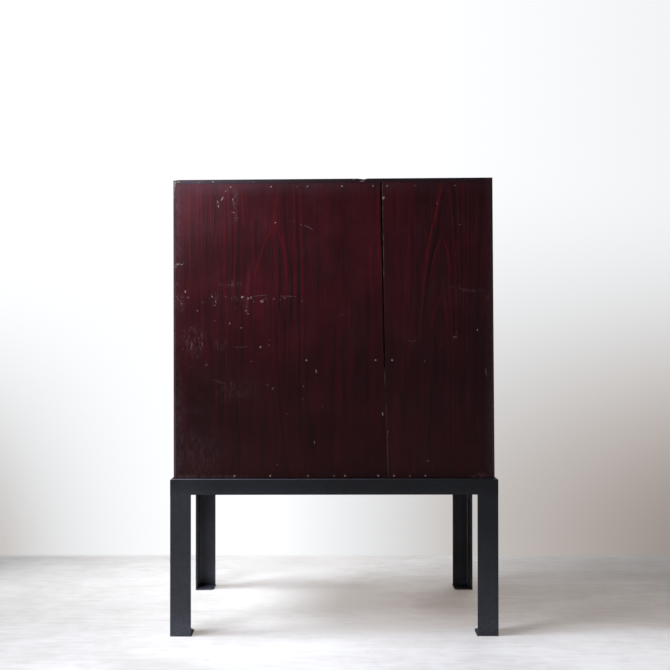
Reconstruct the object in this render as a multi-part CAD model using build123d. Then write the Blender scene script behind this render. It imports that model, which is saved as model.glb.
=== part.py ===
from build123d import *
import math
import os

os.makedirs("parts", exist_ok=True)

# ---------------------------------------------------------------------------
# Small tansu chest of four drawers on an angle-iron stand.
# Millimetres, +Z up, floor at z = 0.  The drawer side faces -Y; the nailed
# back boards face +Y.  X is the width.
# ---------------------------------------------------------------------------

# --- stand ---
ST_W = 630.0            # overall width of the stand
ST_D = 370.0            # overall depth of the stand
ST_H = 300.0            # floor to top of the stand
RAIL_A = 29.0           # leg length of the rail angle
RAIL_T = 3.0            # thickness of the rail angle
LEG_A = 40.0            # leg length of the upright angle
LEG_T = 4.0             # thickness of the upright angle
LEG_ROOT = 5.0          # root radius of the upright angle
LEG_TOE = 2.4           # toe radius of the upright angle
FOOT_A = 41.0           # foot plate width, a little past the toes of the angle
FOOT_T = 3.0            # foot plate thickness
FOOT_R = 8.0            # foot plate rounded inner corner
YC = 1.25               # offset of the case and stand centre, so the box is centred with the handles

# --- case ---
C_W = 620.0             # case width at the bottom
C_D = 346.0             # case depth
Z0 = ST_H               # underside of the case
TOP_PLUS = (311.0, 877.8)    # top corner on the +X side (the old case has racked a little)
TOP_MINUS = (-306.8, 882.6)  # top corner on the -X side
T_SIDE = 18.0           # side board thickness
T_BOT = 18.0            # bottom board thickness
Z_TOP_IN = 860.0        # underside of the top board
LAP = 4.0               # lip of each side outside the back boards
T_BACK = 7.0            # back board thickness
TOP_LIP = 7.5           # lip of the top board above the back boards
FINGERS = 5             # fingers of the corner joints
T_SHELF = 15.0          # shelf thickness
Z_SH_LO = 529.0         # middle of the lower shelf
Z_SH_UP = 708.0         # middle of the upper shelf
HOUSE = 6.0             # housing depth of shelves and divider
T_DIV = 12.0            # divider thickness
PEG_R = 2.2             # wooden pegs in the corner joints
PEG_L = 34.0

# --- drawers ---
D_GAP_X = 0.8           # side gap of a drawer front in its opening
D_GAP_LO = 0.4          # gap under a drawer
D_GAP_HI = 1.3          # gap over a drawer front
D_INSET = 1.0           # drawer fronts sit this far behind the case edges
T_FRONT = 18.0
T_DSIDE = 9.0
T_DBOT = 5.0
D_LEN = 320.0           # drawer length, front face to back face
D_TRAVEL = 265.0

# --- handles ---
PIV_OUT = 9.0           # pivot distance in front of the drawer face
EYE_X = 36.5            # eye distance from the handle centre
EYE_T = 5.0
EYE_R = 5.5
EYE_HOLE = 3.08
PIN_R = 3.0
BAIL_DROP = 38.0        # pivot to middle of the grip
BAIL_BOW = 2.5          # grip stands this far in front of the pivot
GRIP_R = 4.0
SHANK_R = 2.2
ROSE_R = 13.0

Y_STF, Y_STB = YC - ST_D / 2, YC + ST_D / 2
Y_F, Y_B = YC - C_D / 2, YC + C_D / 2          # case front and back faces
Y_P = Y_B - T_BACK                             # front face of the back boards
Y_DF = Y_F + D_INSET                           # drawer front faces
Y_PIV = Y_DF - PIV_OUT
X_H = C_W / 2


def box(x0, x1, y0, y1, z0, z1):
    return Pos((x0 + x1) / 2, (y0 + y1) / 2, (z0 + z1) / 2) * Box(x1 - x0, y1 - y0, z1 - z0)


def save(shape, name):
    if isinstance(shape, (list, tuple)):
        shape = Compound(children=list(shape))
    shape.label = name
    export_step(shape, "parts/%s.step" % name)


def near(vertices, x, y):
    return sorted(vertices, key=lambda v: (v.X - x) ** 2 + (v.Y - y) ** 2)[0]


def prism_y(pts, y0, y1):
    """Solid with the given X-Z outline between two Y planes."""
    f = Plane.XZ * Polygon(*pts, align=None)
    return extrude(f, amount=900, both=True) & box(-900, 900, y0, y1, -50, 1200)


def z_top(x):
    """Height of the top surface at x."""
    k = (TOP_PLUS[1] - TOP_MINUS[1]) / (TOP_PLUS[0] - TOP_MINUS[0])
    return TOP_MINUS[1] + k * (x - TOP_MINUS[0])


def x_face(sx, z):
    """X of the outer face of a side at height z."""
    c = TOP_PLUS if sx > 0 else TOP_MINUS
    return sx * X_H + (c[0] - sx * X_H) * (z - Z0) / (c[1] - Z0)


# ---------------------------------------------------------------- stand ----
def leg_profile():
    f = Polygon((0, 0), (LEG_A, 0), (LEG_A, LEG_T), (LEG_T, LEG_T), (LEG_T, LEG_A), (0, LEG_A), align=None)
    f = fillet(near(f.vertices(), LEG_T, LEG_T), LEG_ROOT)
    f = fillet(near(f.vertices(), LEG_A, LEG_T), LEG_TOE)
    f = fillet(near(f.vertices(), LEG_T, LEG_A), LEG_TOE)
    f = fillet(near(f.vertices(), 0, 0), 0.8)
    return f


def at_corner(solid, sx, sy):
    """Places a solid drawn for the -X -Y corner (origin at the corner) at any corner."""
    s = solid
    if sx > 0:
        s = mirror(s, about=Plane.YZ)
    if sy > 0:
        s = mirror(s, about=Plane.XZ)
    return Pos(sx * ST_W / 2, Y_STB if sy > 0 else Y_STF, 0) * s


leg = Pos(0, 0, FOOT_T) * extrude(leg_profile(), amount=ST_H - RAIL_A - FOOT_T)
corners = {"front_left": (-1, -1), "front_right": (1, -1), "back_left": (-1, 1), "back_right": (1, 1)}
for name, (sx, sy) in corners.items():
    save(at_corner(leg, sx, sy), "stand_leg_" + name)

foot_face = Polygon((0, 0), (FOOT_A, 0), (FOOT_A, FOOT_A), (0, FOOT_A), align=None)
foot_face = fillet(near(foot_face.vertices(), FOOT_A, FOOT_A), FOOT_R)
foot_face = fillet([near(foot_face.vertices(), 0, 0), near(foot_face.vertices(), FOOT_A, 0), near(foot_face.vertices(), 0, FOOT_A)], 0.8)
foot = extrude(foot_face, amount=FOOT_T)
foot = chamfer(foot.edges().group_by(Axis.Z)[-1], 0.3)
save([at_corner(foot, sx, sy) for sx, sy in corners.values()], "stand_foot_plates")


def rail_x(sy):
    """Front or back rail: top flange flat under the case, web hanging at the outside."""
    y_out = Y_STB if sy > 0 else Y_STF
    a = [(0, 0), (0, -RAIL_A), (-RAIL_T, -RAIL_A), (-RAIL_T, -RAIL_T), (-RAIL_A, -RAIL_T), (-RAIL_A, 0)]
    pts = [(y_out + sy * u, ST_H + w) for u, w in a]
    f = Polygon(*pts, align=None)
    f = fillet(near(f.vertices(), y_out - sy * RAIL_T, ST_H - RAIL_T), 3.0)
    f = fillet(near(f.vertices(), y_out, ST_H), 0.8)
    f = fillet(near(f.vertices(), y_out - sy * RAIL_T, ST_H - RAIL_A), 1.4)
    f = fillet(near(f.vertices(), y_out - sy * RAIL_A, ST_H - RAIL_T), 1.4)
    bar = extrude(Plane.YZ * f, amount=ST_W / 2, both=True)
    h = ST_W / 2
    m = Polygon((-h, y_out), (h, y_out), (h - 60, y_out - sy * 60), (-h + 60, y_out - sy * 60), align=None)
    m = extrude(m, amount=400, both=True)
    return bar & m


def rail_y(sx):
    """Side rail with mitred ends."""
    x_out = sx * ST_W / 2
    a = [(0, 0), (0, -RAIL_A), (-RAIL_T, -RAIL_A), (-RAIL_T, -RAIL_T), (-RAIL_A, -RAIL_T), (-RAIL_A, 0)]
    pts = [(x_out + sx * u, ST_H + w) for u, w in a]
    f = Polygon(*pts, align=None)
    f = fillet(near(f.vertices(), x_out - sx * RAIL_T, ST_H - RAIL_T), 3.0)
    f = fillet(near(f.vertices(), x_out, ST_H), 0.8)
    f = fillet(near(f.vertices(), x_out - sx * RAIL_T, ST_H - RAIL_A), 1.4)
    f = fillet(near(f.vertices(), x_out - sx * RAIL_A, ST_H - RAIL_T), 1.4)
    bar = Pos(0, YC, 0) * extrude(Plane.XZ * f, amount=ST_D / 2, both=True)
    m = Polygon((x_out, Y_STF), (x_out, Y_STB), (x_out - sx * 60, Y_STB - 60), (x_out - sx * 60, Y_STF + 60), align=None)
    m = extrude(m, amount=400, both=True)
    return bar & m


# four round-head wood screws hold the case down through the front and back rails
SCREW_X = 230.0
SCREW_Y = 23.0          # in from the stand edge
screw_pts = [(sx * SCREW_X, (Y_STB - SCREW_Y) if sy > 0 else (Y_STF + SCREW_Y)) for sx in (-1, 1) for sy in (-1, 1)]
screw_holes = [Pos(x, y, ST_H - 10) * Cylinder(2.6, 40) for x, y in screw_pts]
rails = {"stand_rail_front": rail_x(-1), "stand_rail_back": rail_x(1), "stand_rail_left": rail_y(-1), "stand_rail_right": rail_y(1)}
for name in ("stand_rail_front", "stand_rail_back"):
    for hole in screw_holes:
        rails[name] = rails[name] - hole
for name, s in rails.items():
    save(s, name)

screws = []
for x, y in screw_pts:
    head = Pos(x, y, ST_H - RAIL_T - 1.1) * Cylinder(4.0, 2.2)
    head = fillet(head.edges().group_by(Axis.Z)[0], 1.6)
    slot_a = Pos(x, y, ST_H - RAIL_T - 2.2) * Box(5.0, 0.9, 1.6)
    slot_b = Pos(x, y, ST_H - RAIL_T - 2.2) * Box(0.9, 5.0, 1.6)
    shank = Pos(x, y, ST_H - RAIL_T + 7.5) * Cylinder(1.9, 15.0)
    tip = Pos(x, y, ST_H - RAIL_T + 15.0 + 0.75) * Cone(1.9, 0.4, 1.5)
    screws.append((head - slot_a - slot_b) + shank + tip)
save(screws, "stand_screws")

# ----------------------------------------------------------------- case ----
envelope = prism_y([(-X_H, Z0), (X_H, Z0), TOP_PLUS, TOP_MINUS], Y_F, Y_B)
# the rebate that the back boards lie in: open at the bottom, lips at the sides and the top
RB_P = [(-X_H + LAP, Z0 - 1), (X_H - LAP, Z0 - 1),
        (TOP_PLUS[0] - LAP, z_top(TOP_PLUS[0] - LAP) - TOP_LIP),
        (TOP_MINUS[0] + LAP, z_top(TOP_MINUS[0] + LAP) - TOP_LIP)]
rebate = prism_y(RB_P, Y_P, Y_B + 1)

sh_lo = (Z_SH_LO - T_SHELF / 2, Z_SH_LO + T_SHELF / 2)
sh_up = (Z_SH_UP - T_SHELF / 2, Z_SH_UP + T_SHELF / 2)
IN_X = X_H - T_SIDE
FING = C_D / FINGERS


def pegs_for(sx):
    """Pegs through the fingers of a side into the ends of the top and bottom boards."""
    out = []
    for i in (0, 2, 4):
        yc = Y_F + FING * (i + 0.5)
        for zc in (Z0 + T_BOT / 2, Z_TOP_IN + 9.5):
            xo = x_face(sx, zc) - sx * 0.2
            out.append(Pos(xo - sx * PEG_L / 2, yc, zc) * (Rot(0, 90, 0) * Cylinder(PEG_R, PEG_L)))
    return out


# heads of the nails proud on the back boards, shanks into the top board, lower shelf and bottom board
NAIL_TOP_X = [199.7, 121.4, 71.1, 50.5, -15.5, -75.6, -103.2, -157.7, -234.1]
NAIL_BOT_X = [192.5, 123.7, 50.8, 0.0, -20.9, -85.2, -115.4, -146.5, -176.7]
NAIL_MID_X = [-80.0, -112.1, 53.7]
NAIL_TOP_DROP = 14.6    # below the top surface
NAIL_R = 1.0
HEAD_R = 1.9
HEAD_T = 0.8
nail_pts = [(x, z_top(x) - NAIL_TOP_DROP) for x in NAIL_TOP_X]
nail_pts += [(x, Z0 + 5.5) for x in NAIL_BOT_X]
nail_pts += [(x, Z_SH_LO) for x in NAIL_MID_X]


def nail(x, z):
    head = Pos(x, Y_B + HEAD_T / 2, z) * (Rot(90, 0, 0) * Cylinder(HEAD_R, HEAD_T))
    head = fillet(head.edges().group_by(Axis.Y)[-1], 0.45)
    return head + Pos(x, Y_B - 11.5, z) * (Rot(90, 0, 0) * Cylinder(NAIL_R, 23.0))


def nail_holes(zlo, zhi):
    return [Pos(x, Y_B - 11.5, z) * (Rot(90, 0, 0) * Cylinder(NAIL_R, 23.0)) for x, z in nail_pts if zlo < z < zhi]


def cut(shape, tools):
    for t in tools:
        shape = shape - t
    return shape


def side(sx):
    xa, xb = (IN_X, X_H + 5) if sx > 0 else (-X_H - 5, -IN_X)
    s = box(xa, xb, Y_F, Y_B, Z0, 900) & envelope
    for i in (1, 3):
        y0, y1 = Y_F + FING * i, Y_F + FING * (i + 1)
        s -= box(xa - 9, xb + 9, y0, y1, Z_TOP_IN, 901)
        s -= box(xa - 9, xb + 9, y0, y1, Z0 - 1, Z0 + T_BOT)
    s -= rebate
    hx0, hx1 = (IN_X - 1, IN_X + HOUSE) if sx > 0 else (-IN_X - HOUSE, -IN_X + 1)
    s -= box(hx0, hx1, Y_F - 1, Y_P, *sh_lo)
    s -= box(hx0, hx1, Y_F - 1, Y_P, *sh_up)
    return cut(s, pegs_for(sx))


def slanted(solid, x, z, y_len, drop):
    """Tilts a solid about the back edge through (x, z) so that it rises by drop over y_len into the case."""
    return Pos(x, Y_B, z) * (Rot(-math.degrees(math.atan2(drop, y_len)), 0, 0) * (Pos(-x, -Y_B, -z) * solid))


# wear: the upper back corner of the +X side is rubbed down, and a splinter is missing from the top edge
RUB_W, RUB_H, RUB_Y = 12.0, 1.2, 45.0
rub = prism_y([(TOP_PLUS[0] + 4, TOP_PLUS[1] - RUB_H - 0.4), (TOP_PLUS[0] + 4, TOP_PLUS[1] + 9), (TOP_PLUS[0] - RUB_W, TOP_PLUS[1] + 9), (TOP_PLUS[0] - RUB_W, z_top(TOP_PLUS[0] - RUB_W))], Y_B - RUB_Y, Y_B + 9)
rub = slanted(rub, TOP_PLUS[0], TOP_PLUS[1], RUB_Y, RUB_H)
NICK = [(-45.4, 0.0), (-51.0, -0.7), (-57.0, -1.3), (-61.0, -1.1), (-64.4, 0.0)]   # X, depth below the top
NICK_Y = 9.0
nick = prism_y([(x, z_top(x) + d) for x, d in NICK] + [(-64.4, 888), (-45.4, 888)], Y_B - NICK_Y - 4, Y_B + 4)
nick = slanted(nick, -57.0, z_top(-57.0), NICK_Y, 1.3)

save(side(-1), "side_board_left")
save(side(1) - rub, "side_board_right")


def cap(z0, z1):
    """Top or bottom board with its fingers."""
    s = box(-IN_X, IN_X, Y_F, Y_B, z0, z1)
    for i in (1, 3):
        s += box(-X_H - 5, X_H + 5, Y_F + FING * i, Y_F + FING * (i + 1), z0, z1)
    return (s & envelope) - rebate


all_pegs = pegs_for(-1) + pegs_for(1)
top = cap(Z_TOP_IN, 900)
top -= box(-T_DIV / 2, T_DIV / 2, Y_F - 1, Y_P - 3, Z_TOP_IN - 1, Z_TOP_IN + HOUSE)
save(cut(cut(top - nick, all_pegs), nail_holes(850, 890)), "top_board")
bottom = cap(Z0, Z0 + T_BOT)
save(cut(cut(cut(bottom, all_pegs), nail_holes(300, 320)), screws), "bottom_board")
save(all_pegs, "corner_pegs")
lower = box(-IN_X - HOUSE, IN_X + HOUSE, Y_F, Y_P, *sh_lo)
save(cut(lower, nail_holes(*sh_lo)), "shelf_lower")
upper = box(-IN_X - HOUSE, IN_X + HOUSE, Y_F, Y_P, *sh_up)
upper -= box(-T_DIV / 2, T_DIV / 2, Y_F - 1, Y_P - 3, sh_up[1] - HOUSE, sh_up[1] + 1)
save(upper, "shelf_upper")
save(box(-T_DIV / 2, T_DIV / 2, Y_F, Y_P - 3, sh_up[1] - HOUSE, Z_TOP_IN + HOUSE), "drawer_divider")

# back boards: two cedar boards nailed in the rebate.  Their meeting edge leans, and shrinkage has
# opened a gap there from the top down to the lower shelf.
SEAM_TOP, SEAM_BOT = -89.1, -100.3      # X of the edge of the wide board at z = 880 and at z = 300
GAP_TOP, GAP_END = 3.4, 2.5             # gap at the top and just above where it closes
GAP_END_HI, GAP_END_LO = 517.0, 509.0   # the gap closes between these heights
SEAM_FIT = 0.3


def seam(z):
    return SEAM_BOT + (SEAM_TOP - SEAM_BOT) * (z - 300.0) / 580.0


def back_board(pts):
    s = prism_y(pts, Y_P, Y_B)
    inner = prism_y([(RB_P[0][0] + 0.2, Z0), (RB_P[1][0] - 0.2, Z0), (RB_P[2][0] - 0.2, RB_P[2][1] - 0.3), (RB_P[3][0] + 0.2, RB_P[3][1] - 0.3)], Y_P, Y_B)
    return s & inner


wide = back_board([(400, Z0), (400, 890), (seam(890), 890), (seam(Z0), Z0)])
narrow = back_board([
    (-400, Z0), (seam(Z0) - SEAM_FIT, Z0), (seam(GAP_END_LO) - SEAM_FIT, GAP_END_LO),
    (seam(GAP_END_HI) - GAP_END, GAP_END_HI), (seam(890) - GAP_TOP, 890), (-400, 890)])
holes = nail_holes(0, 900)
save(cut(wide, holes), "back_board_wide")
save(cut(narrow, holes), "back_board_narrow")
save([nail(x, z) for x, z in nail_pts], "back_nails")

# small stop blocks behind the drawers, two for each
Y_DB = Y_DF + D_LEN


def stops_for(x0, x1, z0):
    a, b = Y_DB + 0.4, Y_P - 3.4
    return [box(x0 + 30, x0 + 48, a, b, z0, z0 + 14), box(x1 - 48, x1 - 30, a, b, z0, z0 + 14)]


# -------------------------------------------------------------- drawers ----
OPEN = {
    "drawer_top_left": (-IN_X, -T_DIV / 2, sh_up[1], Z_TOP_IN),
    "drawer_top_right": (T_DIV / 2, IN_X, sh_up[1], Z_TOP_IN),
    "drawer_middle": (-IN_X, IN_X, sh_lo[1], sh_up[0]),
    "drawer_bottom": (-IN_X, IN_X, Z0 + T_BOT, sh_lo[0]),
}
HANDLES = {
    "drawer_top_left": [("", -148.0)],
    "drawer_top_right": [("", 148.0)],
    "drawer_middle": [("_left", -150.0), ("_right", 150.0)],
    "drawer_bottom": [("_left", -150.0), ("_right", 150.0)],
}
stops = []


def bail(hx, hz):
    """Drop bail: pins in the eyes, two arms and a thicker grip, bowed a little forwards."""
    y = Y_PIV
    g = y - BAIL_BOW
    xo = EYE_X + EYE_T / 2 + 3.6
    xi = EYE_X - EYE_T / 2 - 4.2
    pts = [(hx - xo, y, hz), (hx - xi, y, hz), (hx - xi + 3.5, g, hz - BAIL_DROP),
           (hx + xi - 3.5, g, hz - BAIL_DROP), (hx + xi, y, hz), (hx + xo, y, hz)]
    path = FilletPolyline(*pts, radius=[3.8, 13.0, 13.0, 3.8])
    prof = Plane(origin=pts[0], z_dir=(1, 0, 0)) * Circle(PIN_R)
    rod = sweep(prof, path=path)
    for s in (-1, 1):
        rod += Pos(hx + s * xo, y, hz) * Sphere(4.2)
    half = 11.0
    grip = Pos(hx, g, hz - BAIL_DROP) * (Rot(0, 90, 0) * Cylinder(GRIP_R, 2 * half))
    for s in (-1, 1):
        c = Pos(hx + s * (half + 2.9), g, hz - BAIL_DROP) * (Rot(0, 90 * s, 0) * Cone(GRIP_R, PIN_R - 0.2, 5.8))
        grip += c
    return rod + grip


def eye(x, hz):
    ring = Pos(x, Y_PIV, hz) * (Rot(0, 90, 0) * Cylinder(EYE_R, EYE_T))
    ring = fillet(ring.edges().filter_by(GeomType.CIRCLE), 0.9)
    y0, y1 = Y_PIV + 4.2, Y_DF + T_FRONT + 0.2
    shank = Pos(x, (y0 + y1) / 2, hz) * (Rot(90, 0, 0) * Cylinder(SHANK_R, y1 - y0))
    legs = box(x - 1.6, x + 1.6, Y_DF + T_FRONT, Y_DF + T_FRONT + 1.3, hz - 11, hz + 11)
    s = ring + shank + legs
    return s - Pos(x, Y_PIV, hz) * (Rot(0, 90, 0) * Cylinder(EYE_HOLE, EYE_T + 2))


def rosette(x, hz):
    f = Polygon((SHANK_R + 0.15, 0), (ROSE_R, 0), (ROSE_R, 0.9), (ROSE_R * 0.62, 1.5), (SHANK_R + 2.2, 2.4), (SHANK_R + 0.15, 2.4), align=None)
    s = revolve(Plane.XZ * f, Axis.Z)
    return Pos(x, Y_DF, hz) * (Rot(90, 0, 0) * s)


def strike(hx, hz):
    """Round stud that the grip of the bail rests against."""
    y_tip = Y_PIV - BAIL_BOW + GRIP_R + 0.3
    h = Y_DF - y_tip
    f = Polygon((0, 0), (6.6, 0), (6.2, h * 0.42), (4.6, h * 0.8), (2.2, h * 0.97), (0, h), align=None)
    s = revolve(Plane.XZ * f, Axis.Z)
    s += Pos(0, 0, -6) * Cylinder(1.2, 12.0)
    return Pos(hx, Y_DF, hz - BAIL_DROP) * (Rot(90, 0, 0) * s)


for name, (x0, x1, z0, z1) in OPEN.items():
    fx0, fx1 = x0 + D_GAP_X, x1 - D_GAP_X
    fz0, fz1 = z0 + D_GAP_LO, z1 - D_GAP_HI
    bx0, bx1 = fx0 + 0.3, fx1 - 0.3                 # the box is a little narrower than its front
    yf, yr = Y_DF, Y_DF + T_FRONT                   # front board
    ym = yf + T_FRONT / 2                           # the sides and bottom reach half way into it
    yb = Y_DB
    hz = fz0 + (fz1 - fz0) * 0.62

    front = box(fx0, fx1, yf, yr, fz0, fz1)
    outer = [e for e in front.edges() if abs(e.center().Y - yf) < 1e-6]
    front = chamfer(outer, 0.8)
    front -= box(fx0 - 1, bx0 + T_DSIDE, ym, yr + 1, fz0 - 1, fz1 - 2.5)
    front -= box(bx1 - T_DSIDE, fx1 + 1, ym, yr + 1, fz0 - 1, fz1 - 2.5)
    front -= box(fx0 - 1, fx1 + 1, ym, yr + 1, fz0 - 1, fz0 + T_DBOT)
    for _, hx in HANDLES[name]:
        for s in (-1, 1):
            front -= Pos(hx + s * EYE_X, yf + 9, hz) * (Rot(90, 0, 0) * Cylinder(SHANK_R + 0.1, 40))
        front -= Pos(hx, yf + 6, hz - BAIL_DROP) * (Rot(90, 0, 0) * Cylinder(1.25, 12.6))
    save(front, name + "_front")

    zb = fz0 + T_DBOT
    zs = fz1 - 2.5                                  # top of the sides
    f1, f2 = zb + (zs - zb) * 0.34, zb + (zs - zb) * 0.66

    def dside(a, b):
        s = box(a, b, ym, yb, zb, zs)
        return s - box(a - 1, b + 1, yb - T_DSIDE, yb + 1, f1, f2)

    save(dside(bx0, bx0 + T_DSIDE), name + "_side_left")
    save(dside(bx1 - T_DSIDE, bx1), name + "_side_right")
    back = box(bx0 + T_DSIDE, bx1 - T_DSIDE, yb - T_DSIDE, yb, zb, zs - 5)
    back += box(bx0, bx1, yb - T_DSIDE, yb, f1, f2)
    save(back, name + "_back")
    save(box(bx0, bx1, ym, yb, fz0, zb), name + "_bottom")

    save([eye(hx + s * EYE_X, hz) for _, hx in HANDLES[name] for s in (-1, 1)], name + "_handle_eyes")
    save([rosette(hx + s * EYE_X, hz) for _, hx in HANDLES[name] for s in (-1, 1)], name + "_handle_roses")
    save([strike(hx, hz) for _, hx in HANDLES[name]], name + "_handle_studs")
    for tag, hx in HANDLES[name]:
        save(bail(hx, hz), name + "_bail" + tag)
    stops += stops_for(x0, x1, z0)
    print(name, "open", x0, x1, z0, z1, "handle z", round(hz, 2), "front", fx0, fx1, round(fz0, 2), round(fz1, 2))

save(stops, "drawer_stops")
print("pivot y", Y_PIV, "drawer face y", Y_DF, "drawer back y", Y_DB, "case y", Y_F, Y_B, "back board front y", Y_P)
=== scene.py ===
import math
import random

import bmesh
import bpy
import numpy as np
from mathutils import Matrix, Vector


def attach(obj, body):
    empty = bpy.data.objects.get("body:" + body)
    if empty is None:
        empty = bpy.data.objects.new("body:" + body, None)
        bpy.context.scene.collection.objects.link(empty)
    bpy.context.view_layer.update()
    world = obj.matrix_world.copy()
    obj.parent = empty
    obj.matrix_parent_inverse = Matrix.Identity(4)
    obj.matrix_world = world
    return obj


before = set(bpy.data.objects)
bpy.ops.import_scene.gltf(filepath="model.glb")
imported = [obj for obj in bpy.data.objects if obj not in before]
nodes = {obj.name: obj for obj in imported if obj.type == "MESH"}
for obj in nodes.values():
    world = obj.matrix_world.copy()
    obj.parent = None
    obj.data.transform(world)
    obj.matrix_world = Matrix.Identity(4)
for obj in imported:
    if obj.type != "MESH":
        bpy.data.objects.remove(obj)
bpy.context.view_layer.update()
scene = bpy.context.scene


# --------------------------------------------------------------------------
# small helpers
# --------------------------------------------------------------------------
def lin(r, g, b):
    """sRGB 0-255 to linear RGBA."""
    def f(c):
        c = c / 255.0
        return c / 12.92 if c <= 0.04045 else ((c + 0.055) / 1.055) ** 2.4
    return (f(r), f(g), f(b), 1.0)


class Mat:
    """A material with short names for the nodes it is built from.  Lengths are in millimetres."""

    def __init__(self, name):
        self.mat = bpy.data.materials.new(name)
        self.mat.use_nodes = True
        self.nt = self.mat.node_tree
        self.nt.nodes.clear()
        self.out = self.nt.nodes.new("ShaderNodeOutputMaterial")
        self.bsdf = self.nt.nodes.new("ShaderNodeBsdfPrincipled")
        self.nt.links.new(self.bsdf.outputs[0], self.out.inputs["Surface"])
        tc = self.nt.nodes.new("ShaderNodeTexCoord")
        sc = self.nt.nodes.new("ShaderNodeVectorMath")
        sc.operation = "SCALE"
        self.nt.links.new(tc.outputs["Object"], sc.inputs[0])
        sc.inputs["Scale"].default_value = 1000.0
        self.pos = sc.outputs[0]
        sep = self.nt.nodes.new("ShaderNodeSeparateXYZ")
        self.nt.links.new(self.pos, sep.inputs[0])
        self.x, self.y, self.z = sep.outputs

    def put(self, sock, v):
        if isinstance(v, bpy.types.NodeSocket):
            self.nt.links.new(v, sock)
        elif v is not None:
            sock.default_value = v

    def m(self, op, a, b=None, c=None, clamp=False):
        n = self.nt.nodes.new("ShaderNodeMath")
        n.operation = op
        n.use_clamp = clamp
        self.put(n.inputs[0], a)
        self.put(n.inputs[1], b)
        self.put(n.inputs[2], c)
        return n.outputs[0]

    def add(self, *v):
        r = v[0]
        for o in v[1:]:
            r = self.m("ADD", r, o)
        return r

    def sub(self, a, b):
        return self.m("SUBTRACT", a, b)

    def mul(self, *v):
        r = v[0]
        for o in v[1:]:
            r = self.m("MULTIPLY", r, o)
        return r

    def step(self, v, a, b):
        """0 below a, 1 above b, smooth between (a may be above b for a falling edge)."""
        n = self.nt.nodes.new("ShaderNodeMapRange")
        n.interpolation_type = "SMOOTHSTEP"
        self.put(n.inputs["Value"], v)
        lo, hi = (a, b) if a < b else (b, a)
        n.inputs["From Min"].default_value = lo
        n.inputs["From Max"].default_value = hi
        n.inputs["To Min"].default_value = 0.0 if a < b else 1.0
        n.inputs["To Max"].default_value = 1.0 if a < b else 0.0
        return n.outputs["Result"]

    def span(self, v, a, b, lo, hi):
        n = self.nt.nodes.new("ShaderNodeMapRange")
        self.put(n.inputs["Value"], v)
        n.inputs["From Min"].default_value = a
        n.inputs["From Max"].default_value = b
        n.inputs["To Min"].default_value = lo
        n.inputs["To Max"].default_value = hi
        return n.outputs["Result"]

    def vec(self, x, y, z):
        n = self.nt.nodes.new("ShaderNodeCombineXYZ")
        self.put(n.inputs[0], x)
        self.put(n.inputs[1], y)
        self.put(n.inputs[2], z)
        return n.outputs[0]

    def noise(self, v, scale=1.0, detail=2.0, rough=0.5, dist=0.0):
        n = self.nt.nodes.new("ShaderNodeTexNoise")
        n.noise_dimensions = "3D"
        self.put(n.inputs["Vector"], v)
        n.inputs["Scale"].default_value = scale
        n.inputs["Detail"].default_value = detail
        n.inputs["Roughness"].default_value = rough
        n.inputs["Distortion"].default_value = dist
        return n.outputs[0]

    def rand(self, v):
        n = self.nt.nodes.new("ShaderNodeTexWhiteNoise")
        n.noise_dimensions = "1D"
        self.put(n.inputs["W"], v)
        return n.outputs[0]

    def voronoi(self, v, scale=1.0, feature="F1"):
        n = self.nt.nodes.new("ShaderNodeTexVoronoi")
        n.feature = feature
        self.put(n.inputs["Vector"], v)
        n.inputs["Scale"].default_value = scale
        return n.outputs["Distance"]

    def mix(self, f, a, b, mode="MIX"):
        n = self.nt.nodes.new("ShaderNodeMix")
        n.data_type = "RGBA"
        n.blend_type = mode
        self.put(n.inputs[0], f)
        self.put(n.inputs[6], a)
        self.put(n.inputs[7], b)
        return n.outputs[2]

    def bump(self, h, strength, dist_mm, normal=None):
        n = self.nt.nodes.new("ShaderNodeBump")
        n.inputs["Strength"].default_value = strength
        n.inputs["Distance"].default_value = dist_mm / 1000.0
        self.put(n.inputs["Height"], h)
        if normal is not None:
            self.put(n.inputs["Normal"], normal)
        return n.outputs[0]

    def finish(self, color, rough, normal=None, metallic=0.0, **more):
        b = self.bsdf
        self.put(b.inputs["Base Color"], color)
        self.put(b.inputs["Roughness"], rough)
        self.put(b.inputs["Metallic"], metallic)
        if normal is not None:
            self.put(b.inputs["Normal"], normal)
        for k, v in more.items():
            b.inputs[k.replace("_", " ")].default_value = v
        return self.mat


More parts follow.
